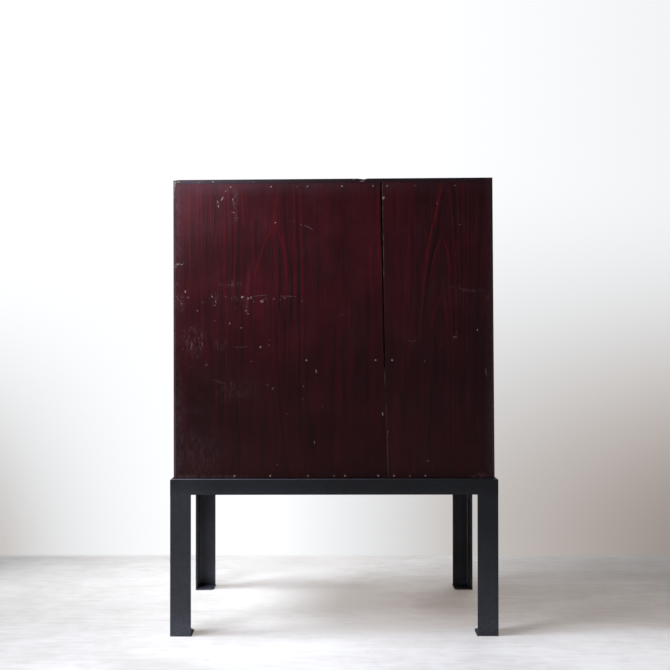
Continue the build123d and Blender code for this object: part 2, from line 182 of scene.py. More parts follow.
def wood(name, across, along, depth, centre, d0, taper, ref, ring, dark, mid, line,
         seed=0.0, rough=0.42, contrast=1.0, wander=10.0, fiber=1.0, extra=None, spec=0.5, coat=0.0, face=0.0,
         jitter=0.25, bump=0.35, fade=None, late_w=2.0, lean=0.0):
    """Flat-sawn board.  across, along and depth are axis letters; the pith lies d0 mm behind the face at
    `ref` along the board and comes nearer by `taper` mm for each mm, so the rings show as arches."""
    M = Mat(name)
    ax = {"x": M.x, "y": M.y, "z": M.z}
    a, l, n = ax[across], ax[along], ax[depth]
    # slow wander of the trunk
    wv = M.vec(M.mul(a, 0.006), M.mul(l, 0.0035), seed)
    w1 = M.mul(M.sub(M.noise(wv, 1.0, 2.0, 0.5), 0.5), wander * 2.0)
    wv2 = M.vec(M.mul(a, 0.018), M.mul(l, 0.0045), seed + 7.3)
    w2 = M.mul(M.sub(M.noise(wv2, 1.0, 2.0, 0.5), 0.5), wander * 0.35)
    da = M.add(M.sub(a, centre), M.mul(M.sub(l, ref), lean), w1)
    dd = M.add(M.mul(M.sub(l, ref), taper), M.sub(n, face), d0, w2)
    r = M.m("SQRT", M.add(M.mul(da, da), M.mul(dd, dd)))
    jit = M.mul(M.sub(M.noise(M.vec(M.mul(a, 0.035), M.mul(l, 0.004), seed + 3.1), 1.0, 2.0, 0.5), 0.5), jitter * 4.0)
    fine = M.mul(M.sub(M.noise(M.vec(M.mul(a, 0.3), M.mul(l, 0.008), seed + 6.1), 1.0, 2.0, 0.5), 0.5), jitter)
    u = M.add(M.mul(r, 1.0 / ring), jit, fine)
    ident = M.m("FLOOR", u)
    fr = M.m("FRACT", u)
    rnd = M.rand(M.add(ident, seed))
    rnd2 = M.rand(M.add(M.mul(ident, 1.7), seed + 41.0))
    # late wood is a line of nearly constant width, however wide the ring is on the face
    slope = M.m("DIVIDE", M.m("SQRT", M.add(M.mul(da, da), M.mul(dd, dd, taper * taper), 0.5)), r)
    dist = M.m("DIVIDE", M.mul(M.sub(1.0, fr), ring), slope)
    late = M.mul(M.step(dist, late_w, late_w * 0.25), M.step(fr, 1.0, 0.93))
    broad = M.mul(M.step(fr, 0.25, 0.95), M.step(fr, 1.0, 0.93))
    late = M.add(M.mul(late, 0.72), M.mul(broad, 0.28))
    # slow beating of the ring strength across the board
    beat = M.noise(M.vec(M.mul(a, 0.03), M.mul(l, 0.002), seed + 19.0), 1.0, 2.0, 0.5)
    late = M.mul(late, M.span(M.mul(rnd, rnd), 0.0, 1.0, 0.18, 1.0), M.span(beat, 0.3, 0.7, 0.45, 1.25))
    if fade:
        late = M.mul(late, fade(M, a, l))
    # fine fibres and vessels
    fib = M.noise(M.vec(M.mul(a, 0.9), M.mul(l, 0.012), M.add(M.mul(n, 0.9), seed)), 1.0, 4.0, 0.62)
    fib2 = M.noise(M.vec(M.mul(a, 2.6), M.mul(l, 0.05), M.add(M.mul(n, 2.6), seed + 5.0)), 1.0, 3.0, 0.6)
    patch = M.noise(M.vec(M.mul(a, 0.012), M.mul(l, 0.006), seed + 11.0), 1.0, 3.0, 0.55)
    base = M.mix(M.step(M.add(M.mul(fib, 0.7 * fiber), M.mul(patch, 0.5)), 0.45, 0.80), dark, mid)
    col = M.mix(M.mul(late, contrast, M.span(fib, 0.25, 0.7, 0.55, 1.1)), base, line)
    col = M.mix(M.mul(M.step(fib2, 0.58, 0.72), 0.22 * fiber), col, tuple(c * 0.35 for c in dark[:3]) + (1.0,))
    rgh = M.add(M.mul(M.sub(fib, 0.5), 0.16), M.mul(M.sub(patch, 0.5), 0.14), rough)
    height = M.add(M.mul(late, 0.5), M.mul(fib, 0.6), M.mul(fib2, 0.35))
    if extra:
        col, rgh, height = extra(M, a, l, n, col, rgh, height, rnd2)
    nor = M.bump(height, bump, 0.18)
    M.finish(col, rgh, nor)
    M.bsdf.inputs["Specular IOR Level"].default_value = spec
    if coat:
        M.bsdf.inputs["Coat Weight"].default_value = coat
        M.bsdf.inputs["Coat Roughness"].default_value = 0.32
    return M.mat


# --------------------------------------------------------------------------
# materials
# --------------------------------------------------------------------------
RED_DARK = lin(44, 18, 22)
RED_MID = lin(73, 18, 27)
RED_LINE = lin(136, 16, 28)
BLACKISH = lin(26, 15, 19)
YB = 0.17425 * 1000


def line_mask(M, a, l, a0, l0, a1, l1, bow, width, soft=18.0):
    """Soft stroke from (a0, l0) up to (a1, l1), bowed sideways by `bow`, width in mm."""
    t = M.mul(M.sub(l, l0), 1.0 / (l1 - l0))
    c = M.add(M.mul(t, a1 - a0), a0)
    if bow:
        c = M.add(c, M.mul(t, M.sub(1.0, t), 4.0 * bow))
    d = M.m("ABSOLUTE", M.sub(a, c))
    ends = M.mul(M.step(l, min(l0, l1) - soft, min(l0, l1) + soft), M.step(l, max(l0, l1) + soft, max(l0, l1) - soft))
    return M.mul(M.step(d, width, width * 0.15), ends)


def stroke_group():
    """One stroke along the grain: a soft line from (A0, L0) up to (A1, L1), laid over a colour."""
    g = bpy.data.node_groups.new("grain_stroke", "ShaderNodeTree")
    for n in ("Color", "Line"):
        g.interface.new_socket(name=n, in_out="INPUT", socket_type="NodeSocketColor")
    for n in ("Across", "Along", "Break", "A0", "L0", "A1", "L1", "Bow", "Width", "Amount"):
        g.interface.new_socket(name=n, in_out="INPUT", socket_type="NodeSocketFloat")
    g.interface.new_socket(name="Result", in_out="OUTPUT", socket_type="NodeSocketColor")
    q, out = g.nodes.new("NodeGroupInput").outputs, g.nodes.new("NodeGroupOutput")
    G = Mat.__new__(Mat)
    G.nt = g
    t = G.m("DIVIDE", G.sub(q["Along"], q["L0"]), G.sub(q["L1"], q["L0"]))
    c = G.add(G.mul(t, G.sub(q["A1"], q["A0"])), q["A0"], G.mul(t, G.sub(1.0, t), q["Bow"], 4.0))
    d = G.m("DIVIDE", G.m("ABSOLUTE", G.sub(q["Across"], c)), q["Width"])
    k = G.mul(G.step(d, 1.1, 0.10), G.step(G.sub(q["Along"], q["L0"]), -18.0, 18.0), G.step(G.sub(q["Along"], q["L1"]), 18.0, -18.0))
    g.links.new(G.mix(G.mul(k, q["Break"], q["Amount"]), q["Color"], q["Line"]), out.inputs[0])
    return g


STROKE = stroke_group()


def stroke(M, col, a, l, brk, q, line):
    n = M.nt.nodes.new("ShaderNodeGroup")
    n.node_tree = STROKE
    for key, v in zip(("Color", "Across", "Along", "Break"), (col, a, l, brk)):
        M.nt.links.new(v, n.inputs[key])
    n.inputs["Line"].default_value = line
    for key, v in zip(("A0", "L0", "A1", "L1", "Bow", "Width", "Amount"), q):
        n.inputs[key].default_value = float(v)
    return n.outputs[0]


def arch_mask(M, a, l, ax, az, k, lean, length, width):
    """Arch of one ring: apex at (ax, az), opening downwards as a parabola that leans.
    Gives the line of the arch and the area inside it."""
    h = M.sub(az, l)
    w = M.m("SQRT", M.mul(M.m("MAXIMUM", h, 0.0), 2.0 * k))
    c = M.add(M.mul(h, lean), ax)
    off = M.m("ABSOLUTE", M.sub(a, c))
    d = M.m("ABSOLUTE", M.sub(off, w))
    run = M.mul(M.step(h, -3.0, 4.0), M.step(h, length * 1.25, length * 0.7))
    inside = M.mul(M.step(M.sub(w, off), -1.0, 4.0), run)
    return M.mul(M.step(d, width, width * 0.2), run), inside


def back_extra(seed, outer, lines=(), streaks=(), arches=(), upper_left_painted_light=None, worn=1.0, low_dark=0.52, patches=(), tone_ovals=()):
    """Grain figures and wear of the back boards: rubbed edges, a film of dust and small scuffs, with painted light: a
    lighter upper part with a painted sheen on the window side, a painted contact shadow along the foot and painted
    highlights along the seam.
    """
    def f(M, a, l, n, col, rgh, height, rnd2):
        wob = M.mul(M.sub(M.noise(M.vec(M.mul(a, 0.02), M.mul(l, 0.012), seed + 4.0), 1.0, 3.0, 0.55), 0.5), 2.4)
        aw = M.add(a, wob)
        brk = M.span(M.noise(M.vec(M.mul(a, 0.03), M.mul(l, 0.03), seed + 8.0), 1.0, 3.0, 0.6), 0.3, 0.6, 0.45, 1.0)
        brk2 = M.span(M.noise(M.vec(M.mul(a, 0.05), M.mul(l, 0.02), seed + 9.0), 1.0, 3.0, 0.6), 0.3, 0.6, 0.72, 1.0)
        for ax, az, k, lean, length, width, amount in arches:
            line, inside = arch_mask(M, aw, l, ax, az, k, lean, length, width)
            col = M.mix(M.mul(inside, 0.30), col, RED_DARK)
            col = M.mix(M.mul(line, brk, amount), col, RED_LINE)
        for q in streaks:
            col = stroke(M, col, aw, l, brk2, q, BLACKISH)
        for q in lines:
            col = stroke(M, col, aw, l, brk, q, RED_LINE)
        grit = M.noise(M.vec(M.mul(a, 0.22), M.mul(l, 0.10), seed), 1.0, 4.0, 0.7)
        fine = M.noise(M.vec(M.mul(a, 1.1), M.mul(l, 0.55), seed + 2.0), 1.0, 3.0, 0.7)
        cloud = M.noise(M.vec(M.mul(a, 0.016), M.mul(l, 0.013), seed + 14.0), 1.0, 4.0, 0.6)
        # thin film of dust in clouds, and thin old dirt
        col = M.mix(M.mul(M.step(cloud, 0.42, 0.75), 0.045), col, lin(112, 80, 90))
        col = M.mix(M.mul(M.step(cloud, 0.55, 0.30), 0.24), col, RED_DARK)
        # rubbed strip along the outer vertical edge
        e = M.sub(outer, a) if outer > 0 else M.sub(a, outer)
        near = M.step(e, 16.0, 0.0)
        low = M.step(l, 560.0, 420.0)
        strip = M.mul(near, M.step(grit, 0.36, 0.60), M.add(M.mul(low, 0.5), 0.5))
        col = M.mix(M.mul(strip, 0.34), col, lin(92, 82, 88))
        # worn zone: pinpoint grime, denser towards the lower outer corner
        zone = M.mul(M.step(l, 560.0, 330.0), M.step(e, 110.0, 8.0))
        specks = M.mul(M.step(fine, 0.66, 0.76), M.step(grit, 0.42, 0.66))
        col = M.mix(M.mul(specks, M.add(M.mul(zone, 0.40 * worn), 0.10)), col, lin(120, 96, 102))
        wipe = M.noise(M.vec(M.mul(a, 0.10), M.mul(l, 0.045), seed + 21.0), 1.0, 5.0, 0.68)
        col = M.mix(M.mul(zone, M.step(wipe, 0.46, 0.66), 0.30 * worn), col, lin(86, 74, 80))
        smear = M.step(M.noise(M.vec(M.mul(a, 0.26), M.mul(l, 0.07), seed + 31.0), 1.0, 4.0, 0.65), 0.44, 0.64)
        for cx, cz, rx, rz, amount in patches:
            u, v = M.mul(M.sub(a, cx), 1.0 / rx), M.mul(M.sub(l, cz), 1.0 / rz)
            inside = M.step(M.add(M.mul(u, u), M.mul(v, v)), 1.0, 0.05)
            col = M.mix(M.mul(inside, smear, amount), col, lin(112, 88, 94))
        band = M.noise(M.vec(M.mul(a, 0.085), M.mul(l, 0.0028), seed + 51.0), 1.0, 3.0, 0.6)
        under = M.step(l, 640.0, 480.0)
        col = M.mix(M.mul(M.step(band, 0.50, 0.36), under, 0.15), col, BLACKISH)
        col = M.mix(M.mul(M.step(band, 0.52, 0.66), under, 0.07), col, RED_LINE)
        # darker and lighter ovals are multiplied into the colour
        for cx, cz, rx, rz, tone3 in tone_ovals:
            u, v = M.mul(M.sub(a, cx), 1.0 / rx), M.mul(M.sub(l, cz), 1.0 / rz)
            col = M.mix(M.step(M.add(M.mul(u, u), M.mul(v, v)), 1.0, 0.0), col, tone3 + (1.0,), "MULTIPLY")
        # darker towards the bottom, and redder low down where x is below about 200 mm
        red = M.mul(M.step(l, 480.0, 330.0), M.step(a, 260.0, 150.0))
        col = M.mix(red, col, (1.07, 0.84, 0.82, 1.0), "MULTIPLY")
        col = M.mix(M.mul(M.step(l, 700.0, 470.0), 1.0 - low_dark), col, (0.0, 0.0, 0.0, 1.0))
        col = M.mix(M.mul(M.step(l, 500.0, 310.0), 0.26), col, (0.0, 0.0, 0.0, 1.0))
        # the inner edges along the open seam are grey with dust
        inner = M.mul(M.step(M.y, YB - 0.9, YB - 1.6), M.step(M.m("ABSOLUTE", M.add(M.x, 98.0)), 13.0, 11.0))
        col = M.mix(M.mul(inner, 0.85), col, lin(37, 37, 38))
        bot = M.mul(M.step(l, 309.0, 304.0), M.step(grit, 0.38, 0.6))
        ends = M.add(M.step(M.x, 150.0, 205.0), M.step(M.x, -250.0, -275.0))
        col = M.mix(M.mul(bot, M.span(ends, 0.0, 1.0, 0.10, 0.45)), col, lin(84, 70, 74))
        # painted contact shadow along the foot of the boards, where they meet the stand
        col = M.mix(M.mul(M.step(l, 303.6, 302.0), 0.40), col, lin(14, 9, 11))
        if outer < 0:
            brk3 = M.span(M.noise(M.vec(M.mul(a, 0.3), M.mul(l, 0.05), 3.3), 1.0, 3.0, 0.6), 0.40, 0.60, 0.0, 1.0)
            # painted highlights along the narrow board's edge at the seam, where the window light catches it; the dark
            # lines are the seam itself
            col = M.mix(M.mul(line_mask(M, a, l, -96.4, 690.0, -93.2, 872.0, 0.0, 1.5, soft=6.0), brk3, 0.50), col, lin(126, 116, 120))
            col = M.mix(M.mul(line_mask(M, a, l, -97.0, 520.0, -96.4, 690.0, 0.0, 1.2, soft=6.0), brk3, 0.30), col, lin(118, 100, 100))
            col = M.mix(M.mul(line_mask(M, a, l, -102.4, 372.0, -97.6, 512.0, 0.0, 1.3, soft=6.0), brk3, 0.42), col, lin(118, 86, 76))
            col = M.mix(M.mul(line_mask(M, a, l, -104.4, 366.0, -99.9, 512.0, 0.0, 1.4, soft=6.0), 0.50), col, lin(10, 9, 11))
            col = M.mix(M.mul(line_mask(M, a, l, -103.7, 302.0, -102.9, 372.0, 0.0, 1.2, soft=6.0), 0.36), col, lin(104, 78, 72))
            col = M.mix(M.mul(line_mask(M, a, l, -105.4, 338.0, -105.2, 360.0, 0.0, 1.3, soft=4.0), 0.60), col, lin(10, 9, 11))
            col = M.mix(M.mul(line_mask(M, a, l, -101.3, 302.0, -101.2, 336.0, 0.0, 2.1, soft=4.0), 0.95), col, lin(6, 5, 6))
        under_top = M.mul(M.step(l, 842.0, 872.0), M.span(a, -220.0, 60.0, 0.4, 1.0), M.span(cloud, 0.3, 0.7, 0.8, 1.2))
        col = M.mix(M.mul(under_top, 0.045), col, lin(140, 132, 146))
        # painted light: the upper part on the window side (+X) is lighter, with a whitish painted sheen towards the top
        # corner there
        if upper_left_painted_light:
            col = M.mix(M.mul(M.step(l, 560.0, 880.0), M.step(a, -60.0, 300.0)), col, upper_left_painted_light, "MULTIPLY")
            painted_sheen = M.mul(M.step(M.add(M.mul(a, 1.0), M.mul(l, 0.9)), 880.0, 1130.0), M.span(cloud, 0.3, 0.7, 0.7, 1.2))
            col = M.mix(M.mul(painted_sheen, 0.085), col, lin(152, 142, 156))
        rgh = M.add(rgh, M.mul(strip, 0.15))
        height = M.sub(height, M.mul(strip, 0.5))
        return col, rgh, height
    return f


WIDE_ARCHES = [(115.6, 781.0, 5.47, 0.083, 96.0, 2.8, 0.17)]
WIDE_LINES = [
    (75, 597, 77, 863, 1, 2.8, 0.20), (61, 585, 66, 863, -1, 2.4, 0.17), (180, 365, 177, 759, 5, 3.0, 0.11), (-87, 713, -84, 863, 0, 3.8, 0.20),
    (195, 655, 194, 863, -2, 2.9, 0.16), (95, 632, 99, 771, -3, 3.0, 0.18), (212, 643, 214, 863, -1, 2.0, 0.13), (-76, 539, -70, 759, 0, 4.0, 0.11),
    (172, 574, 165, 701, 0, 3.2, 0.17), (253, 550, 258, 701, 0, 3.0, 0.15), (91, 365, 105, 608, 4, 2.6, 0.09), (229, 411, 236, 678, -1, 2.8, 0.08),
    (107, 353, 118, 550, -1, 3.3, 0.10), (265, 736, 265, 863, 0, 1.7, 0.15), (203, 747, 205, 863, 0, 1.9, 0.16), (42, 574, 50, 782, -3, 2.0, 0.08),
    (256, 724, 259, 863, 0, 2.1, 0.12), (10, 655, 12, 863, 2, 3.0, 0.07), (220, 736, 220, 863, -1, 1.8, 0.12), (238, 782, 240, 863, 1, 2.1, 0.17),
    (171, 318, 171, 504, 3, 2.7, 0.07), (-28, 458, -29, 643, 0, 4.0, 0.07), (63, 481, 63, 585, -1, 3.4, 0.13), (-11, 458, -8, 620, 0, 3.6, 0.08),
    (117, 759, 117, 852, 0, 4.0, 0.13), (176, 794, 179, 863, 0, 3.2, 0.17), (114, 655, 116, 747, -2, 3.4, 0.13), (157, 713, 161, 805, -2, 3.6, 0.13),
    (249, 469, 247, 562, 0, 2.8, 0.11), (228, 713, 228, 794, 1, 1.6, 0.13), (20, 713, 20, 863, 1, 2.0, 0.06), (13, 539, 18, 678, 0, 2.3, 0.07),
]
WIDE_STREAKS = [
    (66, 388, 74, 863, -2, 2.6, 0.81), (198, 689, 199, 863, -2, 2.1, 0.81), (58, 516, 61, 863, -4, 2.0, 0.42), (189, 620, 182, 817, 0, 2.6, 0.66),
    (27, 527, 34, 863, 0, 3.0, 0.45), (177, 516, 171, 724, 3, 2.6, 0.58), (210, 666, 209, 863, -2, 1.9, 0.55), (185, 307, 191, 550, 0, 3.0, 0.47),
    (84, 608, 90, 747, -5, 4.0, 0.66), (246, 689, 248, 863, -1, 2.4, 0.51), (91, 307, 112, 620, 4, 2.6, 0.40), (107, 620, 106, 747, -2, 3.7, 0.68),
    (92, 434, 94, 620, 2, 3.4, 0.55), (93, 747, 98, 863, 0, 4.0, 0.64), (-65, 458, -63, 678, -1, 4.4, 0.40), (231, 771, 231, 863, 0, 1.8, 0.68),
    (199, 516, 201, 689, -1, 2.2, 0.42), (50, 666, 54, 863, 1, 1.4, 0.37), (235, 458, 243, 608, -1, 3.8, 0.42), (6, 423, -3, 597, 0, 3.7, 0.45),
    (216, 562, 217, 736, 1, 2.6, 0.32), (150, 527, 151, 678, 1, 5.0, 0.40), (163, 574, 159, 689, -1, 4.0, 0.47), (295, 805, 294, 863, 0, 3.2, 0.53),
    (252, 794, 253, 863, 0, 3.0, 0.58), (-20, 446, -16, 574, 1, 3.1, 0.53), (225, 724, 223, 817, 0, 2.1, 0.45), (149, 713, 150, 805, 2, 4.0, 0.53),
    (48, 365, 53, 516, 3, 4.0, 0.40), (122, 795, 118, 866, 0, 8.0, 0.40), (274, 736, 275, 863, 0, 2.2, 0.32), (36, 300, 46, 420, 0, 3.0, 0.34),
]
NARROW_ARCHES = [(-209.1, 762.0, 2.95, 0.044, 78.0, 2.2, 0.52), (-209.1, 653.0, 2.06, 0.106, 58.0, 1.8, 0.42),
                 (-212.0, 560.0, 2.4, 0.05, 66.0, 1.8, 0.14)]
NARROW_LINES = [
    (-236, 562, -223, 863, -5, 2.0, 0.29), (-166, 574, -183, 747, 2, 3.0, 0.27), (-243, 643, -237, 863, -1, 1.9, 0.22), (-229, 516, -217, 747, -3, 2.2, 0.19),
    (-256, 562, -260, 863, -1, 1.8, 0.14), (-177.4, 722, -196.8, 813, 1, 2.2, 0.47), (-196.8, 813, -210.3, 870, 0, 2.0, 0.51), (-131, 469, -135, 643, 0, 3.4, 0.17),
    (-197, 794, -204, 863, 1, 2.6, 0.36), (-137, 643, -145, 771, 0, 2.8, 0.19), (-249, 550, -252, 701, 1, 1.6, 0.17), (-221, 342, -220, 562, 2, 2.0, 0.12),
    (-218, 562, -210, 678, -1, 2.8, 0.19), (-178, 318, -177, 527, -2, 2.1, 0.10), (-251, 736, -249, 863, -1, 2.0, 0.15), (-107, 736, -109, 863, 0, 2.5, 0.14),
    (-272, 747, -275, 863, -2, 2.3, 0.14), (-265, 504, -264, 632, 0, 2.8, 0.11), (-127, 771, -129, 863, 1, 2.5, 0.14), (-239, 353, -238, 516, 1, 1.8, 0.09),
]
NARROW_STREAKS = [
    (-177.5, 640, -201.0, 780, 3, 5.4, 0.80), (-237, 775, -236, 840, 0, 3.6, 0.70), (-243, 715, -249, 745, 0, 2.6, 0.55), (-243, 630, -244, 668, 0, 2.4, 0.60),
    (-273, 353, -287, 852, 3, 3.8, 0.53), (-260, 516, -264, 863, 0, 2.0, 0.53), (-245, 620, -242, 863, -3, 1.8, 0.53), (-232, 574, -223, 771, -1, 3.0, 0.62),
    (-145, 597, -151, 782, -3, 3.6, 0.58), (-172, 597, -180, 689, 1, 2.6, 0.91), (-181, 689, -199, 772, 0, 3.2, 0.92), (-199, 772, -214, 866, 0, 3.6, 0.62),
    (-236, 353, -233, 562, 0, 1.8, 0.43), (-157, 585, -161, 724, -3, 4.2, 0.53), (-255, 701, -255, 863, 0, 1.8, 0.50), (-239, 597, -239, 713, 0, 1.4, 0.69),
    (-253, 423, -253, 655, 1, 2.0, 0.36), (-170, 713, -172, 782, 0, 2.4, 0.79), (-177, 794, -182, 863, 1, 2.0, 0.79), (-182, 353, -188, 492, 0, 3.6, 0.69),
    (-197, 492, -194, 574, -2, 3.4, 0.79), (-234, 747, -233, 829, 0, 4.4, 0.60), (-230, 805, -231, 863, -1, 4.4, 0.74), (-117, 782, -117, 863, 0, 4.0, 0.45),
    (-202, 643, -202, 713, 0, 3.0, 0.62), (-186, 400, -197, 545, 0, 2.6, 0.58),
]

mat_wide = wood("back_wide_lacquer", "x", "z", "y", 800.0, 80.0, 0.0, 600.0, 5.2,
                RED_DARK, RED_MID, RED_LINE, seed=2.0, rough=0.46, contrast=0.37, wander=9.0, face=YB, late_w=2.4, spec=0.16,
                fade=lambda M, a, l: M.mul(M.span(l, 300.0, 760.0, 0.80, 1.0), M.span(a, 20.0, 90.0, 0.36, 1.0)),
                extra=back_extra(3.0, 306.0, WIDE_LINES, WIDE_STREAKS, WIDE_ARCHES, (1.75, 1.85, 1.95, 1.0),
                                 patches=[(272.0, 566.0, 32.0, 42.0, 0.30), (205.0, 462.0, 32.0, 20.0, 0.22), (202.0, 677.0, 30.0, 7.0, 0.30),
                                          (296.0, 640.0, 14.0, 22.0, 0.22), (180.0, 648.0, 30.0, 7.0, 0.22), (296.0, 430.0, 12.0, 90.0, 0.20),
                                          (232.0, 648.0, 12.0, 16.0, 0.30), (170.0, 634.0, 9.0, 16.0, 0.30), (192.0, 838.0, 8.0, 36.0, 0.24), (262.0, 345.0, 60.0, 56.0, 0.22), (220.0, 560.0, 16.0, 18.0, 0.22),
                                          (182.0, 474.0, 44.0, 26.0, 0.18)],
                                 tone_ovals=[(222.0, 815.0, 44.0, 80.0, (1.20, 1.02, 1.02)), (153.0, 858.0, 30.0, 46.0, (0.82, 0.95, 0.95)),
                                         (150.0, 665.0, 34.0, 84.0, (1.42, 1.05, 1.12)), (262.0, 622.0, 66.0, 48.0, (0.78, 0.88, 0.92)),
                                         (85.0, 622.0, 42.0, 50.0, (0.80, 0.92, 0.94)), (-52.0, 770.0, 40.0, 150.0, (1.22, 1.12, 1.14)),
                                         (15.0, 395.0, 130.0, 52.0, (0.78, 0.76, 0.76))]))
mat_narrow = wood("back_narrow_lacquer", "x", "z", "y", -800.0, 80.0, 0.0, 600.0, 4.6,
                  RED_DARK, RED_MID, RED_LINE, seed=9.0, rough=0.50, contrast=0.36, wander=8.0, face=YB, late_w=2.2, spec=0.18,
                  fade=lambda M, a, l: M.mul(M.span(l, 300.0, 740.0, 0.70, 1.0), M.span(a, -285.0, -240.0, 0.35, 1.0)),
                  extra=back_extra(8.0, -304.0, NARROW_LINES, NARROW_STREAKS, NARROW_ARCHES, None, 0.35, 0.58,
                                   patches=[(-262.0, 664.0, 34.0, 5.0, 0.20), (-286.0, 308.0, 16.0, 10.0, 0.30), (-296.0, 650.0, 9.0, 8.0, 0.20)],
                                   tone_ovals=[(-200.0, 650.0, 190.0, 370.0, (0.74, 0.86, 0.88)), (-186.0, 735.0, 32.0, 130.0, (1.28, 1.12, 1.12)),
                                           (-126.0, 520.0, 30.0, 240.0, (0.88, 0.96, 0.96))]))


def case_extra(seed, pale_tone=lin(110, 84, 88), lip_col=lin(104, 86, 96), lip_on=0.35, lip_low=1.0):
    def f(M, a, l, n, col, rgh, height, rnd2):
        grit = M.noise(M.vec(M.mul(a, 0.05), M.mul(l, 0.03), M.add(M.mul(n, 0.05), seed)), 1.0, 4.0, 0.65)
        col = M.mix(M.mul(M.step(grit, 0.55, 0.80), 0.08), col, pale_tone)
        # the narrow lips around the back boards are dull and grey, with painted shade: the top's lip darkens away from
        # the window side (+X), and the -X side's lip is given a darker grey
        dull_and_painted_shade = lip_col
        lip = M.mul(M.step(M.y, YB - 9.0, YB - 2.0), M.span(grit, 0.3, 0.7, lip_on, lip_on + 0.45))
        if lip_on > 0.5:
            lip = M.mul(M.step(M.y, YB - 9.0, YB - 2.0), M.span(grit, 0.3, 0.7, 0.72, 0.96))
            # painted shade: the top's lip darkens away from the window side (+X)
            p = M.span(M.x, -200.0, 270.0, 0.0, 1.0)
            dull_and_painted_shade = M.mix(M.mul(p, p, p), lin(40, 32, 38), dull_and_painted_shade)
        if lip_low < 1.0:
            lip = M.mul(lip, M.span(M.z, 480.0, 720.0, lip_low, 1.0))
        col = M.mix(lip, col, dull_and_painted_shade)
        rgh = M.add(rgh, M.mul(M.sub(grit, 0.5), 0.12))
        # things stood on the chest, so its polish is gone there
        rgh = M.add(rgh, M.mul(M.step(M.z, 872.5, 874.0), M.step(M.y, YB - 4.0, YB - 10.0), M.step(M.y, -172.6, -171.4),
                               M.step(M.m("ABSOLUTE", M.x), 309.4, 308.6), 0.42))
        return col, rgh, height
    return f


CASE_DARK, CASE_MID, CASE_LINE = lin(43, 16, 21), lin(68, 18, 26), lin(112, 20, 30)
mat_side_r = wood("side_right_lacquer", "y", "z", "x", -30.0, 170.0, 0.03, 600.0, 3.4, CASE_DARK, CASE_MID, CASE_LINE,
                  seed=21.0, rough=0.42, spec=0.28, extra=case_extra(1.0, lip_low=0.5), face=310.0)
# the -X side, away from the window, gets a darker grey lip: painted shade
mat_side_l = wood("side_left_lacquer", "y", "z", "x", 40.0, 150.0, -0.03, 560.0, 3.3, CASE_DARK, CASE_MID, CASE_LINE,
                  seed=27.0, rough=0.42, spec=0.28, extra=case_extra(5.0, lip_col=lin(66, 50, 54), lip_on=0.30), face=-310.0)
mat_top = wood("top_lacquer", "y", "x", "z", 20.0, 160.0, 0.025, 0.0, 3.6, CASE_DARK, CASE_MID, CASE_LINE,
               seed=33.0, rough=0.44, spec=0.26, extra=case_extra(9.0, lin(104, 84, 86), lin(88, 80, 92), 0.60), face=880.0)
mat_inner = wood("frame_lacquer", "y", "x", "z", 30.0, 120.0, 0.02, 0.0, 3.6, CASE_DARK, CASE_MID, CASE_LINE,
                 seed=39.0, rough=0.44, spec=0.26, extra=case_extra(12.0), face=700.0)
mat_upright = wood("divider_lacquer", "y", "z", "x", 10.0, 120.0, 0.02, 780.0, 3.2, CASE_DARK, CASE_MID, CASE_LINE,
                   seed=43.0, rough=0.44, spec=0.26, extra=case_extra(14.0), face=0.0)

front_mats = {}
for i, (key, cz) in enumerate((("drawer_top_left", 775.0), ("drawer_top_right", 800.0), ("drawer_middle", 610.0), ("drawer_bottom", 430.0))):
    front_mats[key] = wood(key + "_lacquer", "z", "x", "y", cz, 95.0 + 12 * i, 0.05 * (-1) ** i, 40.0 * (i - 1), 3.2,
                           lin(50, 17, 23), lin(82, 22, 30), lin(140, 27, 37), seed=50.0 + 6 * i, rough=0.38, spec=0.26,
                           extra=case_extra(20.0 + i), face=-170.0, coat=0.15)

mat_raw_y = wood("bare_cedar_y", "z", "y", "x", 420.0, 90.0, 0.03, 0.0, 4.2, lin(150, 112, 78), lin(176, 138, 98), lin(126, 84, 54),
                 seed=71.0, rough=0.62, contrast=0.8, face=0.0, spec=0.3)
def painted_shade_at_back(M, a, l, n, col, rgh, height, rnd2):
    grit = M.noise(M.mul(M.x, 0.1), 1.0, 2.0, 0.5)
    # painted shade: the rear faces just inside the back boards are darkened to the dark of the closed case
    k = M.mul(M.step(M.y, 146.0, 149.0), M.step(M.y, 176.0, 173.0))
    return M.mix(M.mul(k, 0.86), col, lin(38, 27, 24)), M.add(rgh, M.mul(M.sub(grit, 0.5), 0.05)), height


mat_raw_x = wood("bare_cedar_x", "z", "x", "y", 500.0, 100.0, 0.03, 0.0, 4.4, lin(148, 110, 76), lin(172, 134, 95), lin(122, 82, 52),
                 seed=77.0, rough=0.62, contrast=0.8, face=0.0, spec=0.3, extra=painted_shade_at_back)
mat_raw_flat = wood("bare_cedar_flat", "y", "x", "z", 0.0, 80.0, 0.03, 0.0, 5.0, lin(150, 112, 80), lin(178, 140, 102), lin(128, 88, 58),
                    seed=83.0, rough=0.64, contrast=0.75, face=0.0, spec=0.3)


